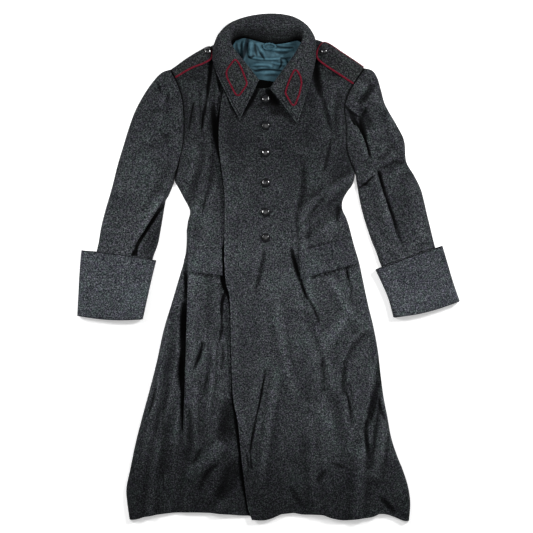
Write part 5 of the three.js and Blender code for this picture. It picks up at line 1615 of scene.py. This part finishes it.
@dataclass
class Sleeve:
    """One sleeve, cut in an upper and an under piece, sewn into the armhole.

    "Sections" hold its two edges seen from above, from the armhole to the mouth.
    """

    side_name: str
    sections: dict
    front: FrontPanel
    folds: dict
    laps: dict
    creases: dict
    cuff: dict
    sign: int
    ripples: Ripples
    rest: float = 14.0
    at_cuff: float = 17.0
    step: float = 3.7
    lowest: float = 6.5
    fold_scale: float = 2.0
    squeeze: float = 5.0
    under_inset: float = 8.0
    armpit_inset: float = 16.0
    bowed_sections: float = 7.0
    cuff_sections: int = 6
    cuff_shade: float = 4.5
    cuff_dark: float = 0.9
    seam_pull: tuple[float, ...] = (1, 0.85, 0.55, 0.25, 0.08, 0)
    rows: int = 180
    columns: int = 140
    painted_shade: Array = field(default=None, repr=False)

    def crown(self, x: Array, y: Array, rise: Array) -> Array:
        """Height of the upper cloth."""
        folds = self.fold_scale * fold_height(self.folds, x, y)
        loft = self.rest + folds + rise + self.ripples.at(x, y)
        depth, _ = crease_field(self.creases, x, y)
        return soft_floor(loft - depth, self.lowest)

    def into_cuff(self, x: Array, y: Array) -> Array:
        """Painted shadow from just before the cuff's free edge, where the cuff stands over the sleeve."""
        outer_x, outer_y, inner_x, inner_y, _, _ = (c[0] for c in self.cuff.values())
        along_x, along_y = inner_x - outer_x, inner_y - outer_y
        past = (along_y * (x - outer_x) - along_x * (y - outer_y)) / math.hypot(along_x, along_y)
        return self.cuff_dark * smooth((self.sign * -past + self.cuff_shade) / 3)

    def inside_cuff(self, i: Array) -> Array:
        """0 on the open sleeve and 1 in the cuff, at sections i."""
        return smooth((i - (len(self.sections["outer_x"]) - 1 - self.cuff_sections)) / 2)

    def armhole(self, shares: Array) -> tuple[Array, Array]:
        """x and y of the armhole seam, from the shoulder to the armpit."""
        y = mix(self.front.side["y"][0], self.front.armpit_y, shares)
        return curve_of(self.front.side, "y", "x")(y), y

    def plan(self, i: Array, shares: Array, low: Array, upper: bool) -> tuple[Array, Array, Array]:
        """Where the cloth lies seen from above: between the edges, set in, bowed to the armhole.

        Args:
            i: places along the sleeve, counted in sections, as a column.
            shares: places across, from the outer edge to the inner one.
            low: 1 at the armpit and 0 from its turn upwards, across.
            upper: whether this is the upper piece.

        Returns:
            The x and the y of each point, and the width at each place along.
        """
        number = np.arange(0.0, len(self.sections["outer_x"]))
        outer_x, outer_y, inner_x, inner_y = (Curve(number, c)(i) for c in self.sections.values())
        width = np.hypot(outer_x - inner_x, outer_y - inner_y)
        hole_x, hole_y = self.armhole(shares)
        bow = smooth(1 - i / self.bowed_sections)
        bow_x = hole_x - mix(outer_x[0], inner_x[0], shares)
        bow_y = hole_y - mix(outer_y[0], inner_y[0], shares)
        squeeze = self.squeeze * self.inside_cuff(i)
        if upper:
            inset = (HALF * smooth(i / 2) + squeeze) * (1 - 2 * shares)
            nudge = SEAM + 0.7 + 0.6 * low
        else:
            at_armpit = self.armpit_inset * np.interp(i, range(len(self.seam_pull)), self.seam_pull)
            inset = (self.under_inset + squeeze) * (1 - 2 * shares) - at_armpit * shares**2
            nudge = mix(SEAM - BACK_INSET, self.under_inset + 6, low)
        nudge = self.sign * np.clip(1 - i, 0, 1) * nudge
        x = mix(outer_x, inner_x, shares) + bow * bow_x + (inner_x - outer_x) / width * inset + nudge
        y = mix(outer_y, inner_y, shares) + bow * bow_y + (inner_y - outer_y) / width * inset
        return x, y, width

    def grid(self, share: Array, upper: bool) -> Array:
        """Heights on the plan: the armhole's at the seam, then a crown between rolled sides.

        Args:
            share: places across each section, from the outer edge to the inner one.
            upper: whether this is the upper piece.

        Returns:
            The middle of the cloth as rows, columns, xyz.
        """
        last, shares = len(self.sections["outer_x"]) - 1, share[None, :]
        i = spread(self.rows if upper else self.rows // 3, [(0.0, 0.06, 2.0)])[:, None] * last
        seam = np.interp(i, range(len(self.seam_pull)), self.seam_pull)
        enter = self.inside_cuff(i)
        hole_x, hole_y = self.armhole(shares)
        low = 1 - smooth((hole_y - self.front.armpit_y) / (ARMPIT_TURN * (1 if upper else 1.7)))
        x, y, width = self.plan(i, shares, low, upper)
        base = self.step * enter
        if not upper:
            return np.stack([x, y, np.broadcast_to(HALF + base, x.shape)], -1)
        move_x, move_y, rise, tucked = lap_over(self.laps, x, y)
        fade = smooth(i / 1.5) * (1 - enter)
        crown = mix(self.crown(x, y, rise), self.at_cuff, enter)
        rolls = roll_down(shares * width, SIDE_ROLL) * roll_down((1 - shares) * width, SIDE_ROLL)
        own = base + (crown - base) * rolls
        shoulder_roll = roll_down(shares * (self.front.side["y"][0] - self.front.armpit_y), SIDE_ROLL)
        seam_height = self.front.height(hole_x, hole_y, np.zeros(hole_x.shape))
        z = mix(own, seam_height * (shoulder_roll * (1 - low)), seam)
        z = z - SEAM_DIP * ((1 - smooth(i / 0.5)) * (1 - low)) * shoulder_roll
        # Painted shade in creases, in the armhole seam's groove, under the cuff's edge and under lapped folds
        _, painted_shade = crease_field(self.creases, x, y)
        seam_line = 1 - smooth(i / (0.16 + 0.4 * low))
        dark = layered(painted_shade, SEAM_DARK * seam_line, self.into_cuff(x, y), fade * tucked)
        self.painted_shade = painted_fold_shade(dark, self.crown(x, y, rise))
        return np.stack([x + move_x * fade, y + move_y * fade, z], -1)

    def build(self) -> None:
        """Makes both pieces of the sleeve."""
        under = self.grid(np.linspace(0, 1, 30), False)
        upper = self.grid(spread(self.columns, [(0, 0.05, 2.0), (1, 0.05, 2.0)]), True)
        for part, grid, flat, area in (
            ("upper", upper, (0.27, 0.62), 0.105), ("under", under, (0.25, 0.60), 0.085),
        ):
            name = f"sleeve_{part}_{self.side_name}"
            shade = self.painted_shade if part == "upper" else None
            surface = wall(grid, MELTON, bulge=0.2, painted_shade=shade)
            piece = add_piece(name, surface, Finish.WOOL_SLEEVE, (name,))


@dataclass
class Cuff:
    """A wide turned-back cuff that shows the paler reverse of the cloth."""

    side_name: str
    sections: dict
    ripples: Ripples
    side_radius: float = 7.0
    lip: float = 4.2
    crown: float = 1.0
    rows: int = 34
    straight: int = 44
    turned: int = 12

    def ring(self, i: Array, shrink: Array) -> Array:
        """Sections all round: flat below, round at the sides, crowned above.

        Args:
            i: the places along the cuff, counted in rows of its table.
            shrink: how much smaller each section is than the cuff's own.

        Returns:
            The points as rows, columns, xyz.
        """
        number = np.arange(len(self.sections["bow"]) + 0.0)
        ox, oy, ix, iy, height, bow = (Curve(number, c)(i)[:, None] for c in self.sections.values())
        shrink = shrink[:, None]
        width = np.hypot(ox - ix, oy - iy)
        top, bottom = height - HALF - shrink, HALF + shrink
        middle, rise, edge = (top + bottom) / 2, (top - bottom) / 2, HALF + shrink
        near, far = edge + self.side_radius, width - edge - self.side_radius
        t = np.linspace(0, 1, self.straight)[None, :]
        turn = np.radians(np.linspace(180, 0, self.turned + 2)[1:-1])[None, :]
        ones = np.ones_like(t)
        distance = np.concatenate([
            mix(near, far, t), far + self.side_radius * np.sin(turn),
            mix(far, near, t), near - self.side_radius * np.sin(turn),
        ], 1)
        z = np.concatenate([
            bottom * ones, middle + rise * np.cos(turn),
            top * ones, middle - rise * np.cos(turn),
        ], 1)
        arch = np.sin(math.pi * t) * np.ones_like(width)
        none = np.zeros((len(i), turn.shape[1]))
        sag = bow * np.concatenate([arch, none, arch, none], 1)
        share = distance / width
        x, y = mix(ox, ix, share), mix(oy, iy, share) - sag
        upper = smooth((z - middle) / rise)
        z = z + upper * (self.ripples.at(x, y) + self.crown * np.sin(math.pi * np.clip(share, 0, 1)))
        return np.stack([x, y, z], -1)

    def build(self) -> None:
        """Makes the cuff with its mouth turned in."""
        last = len(self.sections["bow"]) - 1
        i = np.r_[np.linspace(0, last - 1, self.rows), np.linspace(last - 1, last, 5)[1:], last, last, last]
        shrink = np.r_[np.zeros(len(i) - 3), 1.4, 2.8, self.lip]
        name = f"cuff_{self.side_name}"
        piece = add_piece(name, wall(self.ring(i, shrink), MELTON, around=True), Finish.WOOL_PALE, (name,))


def patch(first: PlanLine, second: PlanLine, rows: int, columns: int) -> tuple[Array, Array]:
    """A patch seen from above between two lines, ruled straight from one to the other.

    Args:
        first: the line at the first column.
        second: the line at the last column.
        rows: points along the lines.
        columns: points across.

    Returns:
        The x and the y of the patch's points.
    """
    share, across = np.linspace(0, 1, rows), np.linspace(0, 1, columns)[None, :]
    (ax, ay), (bx, by) = first.at(share), second.at(share)
    return mix(ax[:, None], bx[:, None], across), mix(ay[:, None], by[:, None], across)


@dataclass
class Stitches:
    """A row of short stitches along a path on some cloth's upper side, as one joined mesh."""

    name: str
    path: Array
    pitch: float = 4.4
    length: float = 3.2
    radius: float = 0.4
    sides: int = 6

    def build(self) -> None:
        """Sets one stitch at each pitch: five rings whose ends dip into the cloth."""
        run = np.r_[0, np.cumsum(np.linalg.norm(np.diff(self.path, axis=0), axis=1))]
        middle = np.arange(self.pitch, run[-1] - self.pitch, self.pitch)

        def at(place: Array) -> Array:
            """The path's points at some distances along it."""
            return np.stack([np.interp(place, run, c) for c in self.path.T], -1)

        way = unit(at(middle + self.length / 2) - at(middle - self.length / 2))
        side = unit(np.cross(UP, way))
        along = np.array([-0.5, -0.3, 0.0, 0.3, 0.5]) * self.length
        rise = np.array([-0.5, 0.1, 0.25, 0.1, -0.5])
        size = np.array([0.5, 1.0, 1.0, 1.0, 0.5]) * self.radius
        turn = np.linspace(0, 2 * math.pi, self.sides, endpoint=False)
        centre = at(middle)[:, None] + along[:, None] * way[:, None]
        centre[..., 2] += rise
        ring = side[:, None, None] * np.cos(turn)[:, None] + np.array(UP) * np.sin(turn)[:, None]
        points = centre[:, :, None] + size[:, None, None] * ring
        quads = grid_quads(len(along), self.sides, True)
        ends = np.array([[0, 1, 2, 3], [0, 3, 4, 5]])
        last = (len(along) - 1) * self.sides
        one = np.concatenate([quads[:, ::-1], ends[:, ::-1], ends + last])
        step = len(along) * self.sides
        starts = np.arange(len(middle))[:, None, None] * step
        surface = Surface(points.reshape(-1, 3), (one + starts).reshape(-1, 4)).faced_out()
        add_piece(self.name, surface, Finish.THREAD, ())


@dataclass
class PocketFlap:
    """A pocket flap, sewn along its top edge and lying on its front.

    The reaches say how widely it bridges what is below it, and how closely it stays above.
    """

    side_name: str
    lines: tuple
    front: FrontPanel
    flat: tuple[float, float]
    rows: int = 60
    columns: int = 34
    lift: float = 0.5
    reaches: tuple[float, float] = (5.0, 2.0)

    def build(self) -> None:
        """Lays the flap on the front."""
        x, y = patch(PlanLine(self.lines[0]), PlanLine(self.lines[1]), self.rows, self.columns)
        under = upper_side(self.front.grid, MELTON)
        z = evened(resting_height(under, x, y, self.reaches[0]), 12)
        z = np.maximum(z, resting_height(under, x, y, self.reaches[1])) + HALF + SEAM + self.lift
        grid = np.stack([x, y, evened(z, 2)], -1)
        name = f"pocket_flap_{self.side_name}"
        piece = add_piece(name, wall(grid, MELTON, bulge=1.2), Finish.WOOL_FLAP, (name,))


@dataclass
class Collar:
    """A stand-and-fall collar, turned down, with the stand's inside showing at the back."""

    fronts: tuple
    sections: int = 240
    across: int = 84
    stitch_inset: float = 5.5
    rounding: int = 22
    clearance: float = 1.0
    reach: float = 5.0
    grid: Array = field(default=None, repr=False)

    def build_grid(self) -> Array:
        """Sweeps a curve from the stand's foot over the roll to the free edge along the neck.

        Returns:
            The middle of the cloth as rows, columns, xyz.
        """
        number = np.arange(len(COLLAR["foot_x"]) + 0.0)
        i = np.linspace(0, number[-1], self.sections)
        columns = [Curve(number, c)(i) for c in COLLAR.values()]
        knots = np.stack(columns, -1).reshape(self.sections, 4, 3)
        legs = np.linalg.norm(np.diff(knots, axis=1), axis=-1) ** 0.5
        run = np.concatenate([np.zeros((self.sections, 1)), np.cumsum(legs, 1)], 1)
        fine = np.stack([
            np.stack([Curve(r, axis)(np.linspace(0, r[-1], self.across)) for axis in four.T], -1)
            for r, four in zip(run, knots)
        ])
        for _ in range(self.rounding):
            fine[:, 1:-1] = mix(fine[:, 1:-1], (fine[:, :-2] + fine[:, 2:]) / 2, 0.5)
        share = (i / number[-1])[:, None]
        over_front = smooth(np.where(share < 0.5, 0.42 - share, share - 0.58) / 0.04)
        lowest = np.full(fine.shape[:2], -np.inf)
        for front in self.fronts:
            under = upper_side(front.grid, MELTON)
            lowest = np.maximum(lowest, resting_height(under, fine[..., 0], fine[..., 1], self.reach))
        lowest = lowest + COLLAR_CLOTH / 2 + self.clearance
        lifted = soft_floor(fine[..., 2], lowest, 1.0)
        fine[..., 2] = mix(fine[..., 2], np.where(np.isfinite(lifted), lifted, fine[..., 2]), over_front)
        self.grid = fine
        return fine

    def build(self) -> None:
        """Makes the collar, with painted shade low inside its stand and along its roll's foot."""
        grid = self.build_grid()
        across = np.linspace(0, 1, self.across)[None, :]
        along = np.linspace(0, 1, self.sections)[:, None]
        at_back = smooth((along - 0.2) / 0.1) * smooth((0.8 - along) / 0.1)
        # Painted shade low inside the stand at the back
        inside = at_back * (0.75 - 0.45 * smooth(across / 0.1) - 0.3 * smooth((across - 0.1) / 0.25))
        from_edge = np.linalg.norm(grid - grid[:, -1:], axis=-1)
        from_ends = np.minimum(
            np.linalg.norm(grid - grid[:1], axis=-1), np.linalg.norm(grid - grid[-1:], axis=-1)
        )
        in_by = np.minimum(from_edge, from_ends)
        on_fall = smooth((across - 0.5) / 0.05)
        # Painted shade along the stitching
        stitched = 0.45 * on_fall * bell(in_by - self.stitch_inset, 1.3)
        painted_shade = painted_fold_shade(layered(inside, stitched), grid[..., 2], 0.03, 12)
        # A painted highlight along the free edge of the fall and its ends
        painted_shade *= 1 - on_fall * bell(in_by, 1.8)
        surface = wall(grid, COLLAR_CLOTH, bulge=1.2, painted_shade=painted_shade)
        piece = add_piece("collar", surface, Finish.WOOL_COLLAR, ("collar",))
        self.stitch()

    def stitch(self) -> None:
        """Sews a row of stitches round the free edge of the fall and both of its ends."""
        top = upper_side(self.grid, COLLAR_CLOTH)
        steps = self.grid[:, -1] - self.grid[:, -2], self.grid[1] - self.grid[0]
        down, column = (
            max(1, int(round(self.stitch_inset / np.linalg.norm(step, axis=-1).mean()))) for step in steps
        )
        row = self.across - 1 - down
        first = self.across * 2 // 3
        path = np.concatenate([
            top[column, first:row], top[column:-column, row], top[-1 - column, first:row][::-1],
        ])
        Stitches("collar_stitches", path).build()


def rim_of(grid: Array, sides: str) -> Array:
    """Points round a patch: the first column, the first row, the last column, the last row."""
    parts = {"a": grid[::-1, 0], "b": grid[0, 1:-1], "c": grid[:, -1], "d": grid[-1, ::-1][1:-1]}
    return np.concatenate([parts[s] for s in sides])


def pushed_out(rim: Array, distance: float, closed: bool) -> Array:
    """Moves a rim's points sideways, away from its middle."""
    way = ways_along(rim, closed)
    side = unit(np.stack([way[:, 1], -way[:, 0], np.zeros(len(way))], -1))
    away = np.sign(((rim - rim.mean(0)) * side).sum(1))[:, None]
    return rim + side * away * distance


def eased(path: Array, passes: int, closed: bool) -> Array:
    """Rounds the corners of a path by taking points half way to their neighbours' mean."""
    path = path.copy()
    for _ in range(passes):
        if closed:
            path = mix(path, (np.roll(path, 1, 0) + np.roll(path, -1, 0)) / 2, 0.5)
        else:
            path[1:-1] = mix(path[1:-1], (path[:-2] + path[2:]) / 2, 0.5)
    return path


def add_piping(name: str, rim: Array, passes: int, radius: float, closed: bool) -> None:
    """Lays a cord of piping along a rim, whose corners it rounds."""
    add_piece(name, tube(eased(rim, passes, closed), radius, closed), Finish.PIPING, (name,))


@dataclass
class CollarTab:
    """A cloth tab sewn on the end of the collar, with crimson piping all round."""

    side_name: str
    lines: tuple
    collar: Collar
    area: float
    piping_radius: float = 2.1
    gap: float = 0.7
    piping_gap: float = 0.4
    reach: float = 3.0
    rows: int = 48
    columns: int = 14

    def build(self) -> None:
        """Lays the tab and its piping on the collar's fall."""
        outer, inner = (PlanLine(line, smoothed=False) for line in self.lines)
        x, y = patch(outer, inner, self.rows, self.columns)
        fall = upper_side(self.collar.grid, COLLAR_CLOTH)[:, self.collar.across // 3 :]
        z = evened(resting_height(fall, x, y, self.reach), 6) + self.gap + TAB_CLOTH / 2
        grid = np.stack([x, y, z], -1)
        name = f"collar_tab_{self.side_name}"
        piece = add_piece(name, wall(grid, TAB_CLOTH, bulge=0.4), Finish.WOOL_FACE, (name,))
        away = self.piping_gap + self.piping_radius
        rim = eased(pushed_out(rim_of(grid, "abcd"), away, True), 3, True)
        rim[:, 2] = resting_height(fall, rim[:, 0], rim[:, 1], self.reach) + away
        add_piping(f"tab_piping_{self.side_name}", rim, 2, self.piping_radius, True)


@dataclass
class ShoulderBoard:
    """A shoulder board sewn into the armhole seam and held by a button at the neck."""

    side_name: str
    lines: tuple
    front: FrontPanel
    tucked: float
    flat: tuple[float, float]
    area: float
    piping_radius: float = 2.35
    gap: float = 0.5
    reach: float = 4.0
    rows: int = 60
    columns: int = 22
    grid: Array = field(default=None, repr=False)

    def build(self) -> None:
        """Lays the board on the shoulder and pipes its three loose sides."""
        x, y = patch(PlanLine(self.lines[0]), PlanLine(self.lines[1]), self.rows, self.columns)
        under = upper_side(self.front.grid, MELTON)
        z = evened(resting_height(under, x, y, self.reach), 4) + SEAM + self.gap + BOARD_CLOTH / 2
        self.grid = np.stack([x, y, z], -1)
        name = f"shoulder_board_{self.side_name}"
        piece = add_piece(name, wall(self.grid, BOARD_CLOTH, bulge=0.6), Finish.WOOL_FACE, (name,))
        border = rim_of(self.grid, "abc")
        rim = pushed_out(border, self.piping_radius + self.gap, False)
        # Along the upper side the cord may be tucked in below the board
        upper = np.clip((len(self.grid) - np.arange(len(rim))) / 6, 0, 1)[:, None] * self.tucked
        rim = mix(rim, pushed_out(border, -2.0, False) - [0.0, 0.0, 2.4], upper)
        add_piping(f"board_piping_{self.side_name}", rim, 3, self.piping_radius, False)


@dataclass
class Button:
    """A plain domed button on its shank: a profile of radius and height, turned about its axis."""

    name: str
    x: float
    y: float
    under: Array
    radius: float = 11.0
    height: float = 7.6
    sides: int = 56

    def profile(self) -> Array:
        """Radius and height from the foot of the shank to the top of the dome."""
        r, h = self.radius, self.height
        turn = np.radians(np.linspace(0, 90, 16))
        dome = np.stack([0.95 * r * np.cos(turn), 0.4 * h + 0.6 * h * np.sin(turn)], -1)[:-1]
        under = [(0.28 * r, 0), (0.28 * r, 0.16 * h), (0.8 * r, 0.2 * h), (0.95 * r, 0.25 * h),
                 (r, 0.31 * h), (0.985 * r, 0.37 * h)]
        return np.concatenate([np.array(under), dome, [(0.03 * r, h)]])

    def build(self) -> None:
        """Turns the profile and closes both ends."""
        x, y = np.array([self.x]), np.array([self.y])
        foot = resting_height(self.under, x, y, self.radius)[0] + SEAM
        profile = self.profile()
        turn = np.linspace(0, 2 * math.pi, self.sides, endpoint=False)
        ring = np.stack([np.cos(turn), np.sin(turn)], -1)
        points = np.concatenate([
            np.concatenate([ring * r, np.full((self.sides, 1), z)], 1) for r, z in profile
        ])
        number = len(points)
        points = np.concatenate([points, [[0, 0, profile[0][1]], [0, 0, profile[-1][1]]]])
        quads = np.concatenate([
            grid_quads(len(profile), self.sides, True), fan(number, 0, self.sides),
            fan(number + 1, number - self.sides, self.sides)[:, ::-1],
        ])
        surface = Surface(points + [self.x, self.y, foot], quads).faced_out()
        add_piece(self.name, surface, Finish.BUTTON, (self.name,))


@dataclass
class NeckLining:
    """The cotton lining of the back where the open neck shows it, with its hanger loop."""

    rows: int = 130
    columns: int = 150
    ripples: Ripples = Ripples(71, longest=44, shortest=10, count=16, height=0.9)
    fold_scale: float = 2.2

    def height(self, x: Array, y: Array) -> Array:
        """Flat where the collar and the fronts cover it, wrinkled where it shows."""
        shown = smooth((y - 466) / 20) * smooth((560 - y) / 12)
        depth, _ = crease_field(LINING_CREASES, x, y)
        wrinkles = 3 + self.fold_scale * fold_height(LINING_FOLDS, x, y) + self.ripples.at(x, y) - depth
        return MELTON + SEAM + LINING_CLOTH / 2 + shown * np.maximum(0, wrinkles)

    def build(self) -> None:
        """Makes the lining and the twisted loop."""
        x, y = patch(PlanLine(LINING_RIGHT), PlanLine(LINING_LEFT), self.rows, self.columns)
        top, foot = LINING_RIGHT["y"][0], LINING_RIGHT["y"][-1]
        share = (y - foot) / (top - foot)
        y = y + share**2 * (curve_of(LINING_TOP, "x", "y")(x) - top)
        grid = np.stack([x, y, self.height(x, y)], -1)
        # Painted shade in the lining's creases and hollows
        _, painted_shade = crease_field(LINING_CREASES, x, y)
        shaded = painted_fold_shade(painted_shade, grid[..., 2], 0.14, 30)
        surface = wall(grid, LINING_CLOTH, bulge=0.3, painted_shade=shaded)
        piece = add_piece("back_lining", surface, Finish.LINING, ("back_lining",))
        add_piece("hanger_loop", self.loop(), Finish.LINING, ("hanger_loop",))

    def loop(self, strand: float = 1.2, twists: int = 6) -> Surface:
        """The hanger loop: an oval of two strands that twist round each other.

        Args:
            strand: the radius of a strand.
            twists: how many times they go round each other.

        Returns:
            Both strands as one surface.
        """
        t = np.linspace(0, 2 * math.pi, 120, endpoint=False)
        out_x, out_y = np.cos(t), np.sin(t)
        x, y = LOOP_CENTRE[0] + LOOP_RADII[0] * out_x, LOOP_CENTRE[1] + LOOP_RADII[1] * out_y
        z = self.height(x, y) + LINING_CLOTH / 2 + 2.5 * strand + 3 * np.maximum(0, out_y)
        middle = np.stack([x, y, z], -1)
        turn = twists * t
        aside = np.stack([out_x * np.cos(turn), out_y * np.cos(turn), np.sin(turn)], -1) * strand
        return joined([tube(middle + aside, strand, True), tube(middle - aside, strand, True)])


@dataclass
class Studio:
    """A white floor, three soft boxes and a camera that looks straight down."""

    frame_width_mm: float = 1305.85
    centre: tuple[float, float] = (-4.9, 3.7)
    camera_height: float = 4.0
    sensor: float = 36.0
    floor_half: float = 6.0
    floor_level: float = -0.0004

    def build(self) -> None:
        """Makes the camera, the lights, the world and the floor."""
        scene = bpy.context.scene
        scene.view_settings.view_transform = "Standard"
        camera = bpy.data.cameras.new("camera")
        camera.sensor_width = self.sensor
        camera.lens = self.sensor * self.camera_height / (self.frame_width_mm * MM)
        holder = bpy.data.objects.new("camera", camera)
        holder.location = (self.centre[0] * MM, self.centre[1] * MM, self.camera_height)
        scene.collection.objects.link(holder)
        scene.camera = holder
        self.light("soft_box_right", (1.1, 0.7, 1.1), (0, -0.05, 0), 0.45, 27.5)
        self.light("soft_box_left", (-1.2, 0.5, 1.1), (0, -0.05, 0), 0.45, 18.0)
        self.light("soft_box_top", (0, 0.2, 1.8), (0, -0.1, 0), 1.2, 5.0)
        world = bpy.data.worlds.new("studio")
        world.use_nodes = True
        world.node_tree.nodes["Background"].inputs["Color"].default_value = (1, 1, 1, 1)
        world.node_tree.nodes["Background"].inputs["Strength"].default_value = 0.12
        scene.world = world
        mesh = bpy.data.meshes.new("floor")
        s, z = self.floor_half, self.floor_level
        mesh.from_pydata([(-s, -s, z), (s, -s, z), (s, s, z), (-s, s, z)], [], [(0, 1, 2, 3)])
        mesh.materials.append(BackgroundPaper().build())
        floor = bpy.data.objects.new("floor", mesh)
        scene.collection.objects.link(floor)

    def light(self, name: str, place: tuple, aim: tuple, size: float, watts: float) -> None:
        """Adds a square area light that points at a place."""
        lamp = bpy.data.lights.new(name, "AREA")
        lamp.size = size
        lamp.energy = watts
        holder = bpy.data.objects.new(name, lamp)
        holder.location = place
        holder.rotation_euler = (Vector(aim) - Vector(place)).to_track_quat("-Z", "Y").to_euler()
        bpy.context.scene.collection.objects.link(holder)


def main() -> None:
    """Builds the coat from the back up, in the order in which its pieces lie."""
    logging.basicConfig(level=logging.INFO, format="%(name)s %(message)s")
    Studio().build()
    Back().build()
    NeckLining().build()
    right = RightFront(
        "front_right", RIGHT_SIDE, RIGHT_LAP, RIGHT_NECKLINE, RIGHT_SHOULDER, RIGHT_HEM, 216, -1,
        RIGHT_FRONT_LAPS, RIGHT_CREASES, Ripples(11), (0.46, 1.14), 0.42,
    )
    left = LeftFront(
        "front_left", LEFT_SIDE, LEFT_FREE_EDGE, LEFT_NECKLINE, LEFT_SHOULDER, LEFT_HEM, 235, 1,
        {}, LEFT_CREASES, Ripples(12), (0.46, 1.16), 0.42, edge_highlight=1.0,
    )
    right.build()
    left.build()
    Sleeve(
        "right", RIGHT_SLEEVE, right, RIGHT_SLEEVE_FOLDS, RIGHT_SLEEVE_LAPS, RIGHT_SLEEVE_CREASES, RIGHT_CUFF,
        -1, Ripples(13),
    ).build()
    Sleeve(
        "left", LEFT_SLEEVE, left, LEFT_SLEEVE_FOLDS, LEFT_SLEEVE_LAPS, LEFT_SLEEVE_CREASES, LEFT_CUFF, 1,
        Ripples(14),
    ).build()
    Cuff("right", RIGHT_CUFF, Ripples(15, height=1.3)).build()
    Cuff("left", LEFT_CUFF, Ripples(16, height=0.9)).build()
    PocketFlap("right", RIGHT_FLAP, right, (0.075, 0.06)).build()
    PocketFlap("left", LEFT_FLAP, left, (0.135, 0.065)).build()
    collar = Collar((right, left))
    collar.build()
    CollarTab("right", RIGHT_TAB, collar, 0.0025).build()
    CollarTab("left", LEFT_TAB, collar, 0.0019).build()
    boards = {
        "right": ShoulderBoard("right", RIGHT_BOARD, right, 1.0, (0.04, 0.11), 0.0034),
        "left": ShoulderBoard("left", LEFT_BOARD, left, 0.45, (0.055, 0.13), 0.0058),
    }
    top = upper_side(left.grid, MELTON)
    for number, y in enumerate(FRONT_BUTTON_YS, 1):
        Button(f"front_button_{number}", BUTTON_LINE_X, y, top).build()
    for side_name, board in boards.items():
        board.build()
        x, y = BOARD_BUTTONS[side_name]
        Button(f"board_button_{side_name}", x, y, upper_side(board.grid, BOARD_CLOTH), 8.0, 5.5).build()


if __name__ == "__main__":
    main()
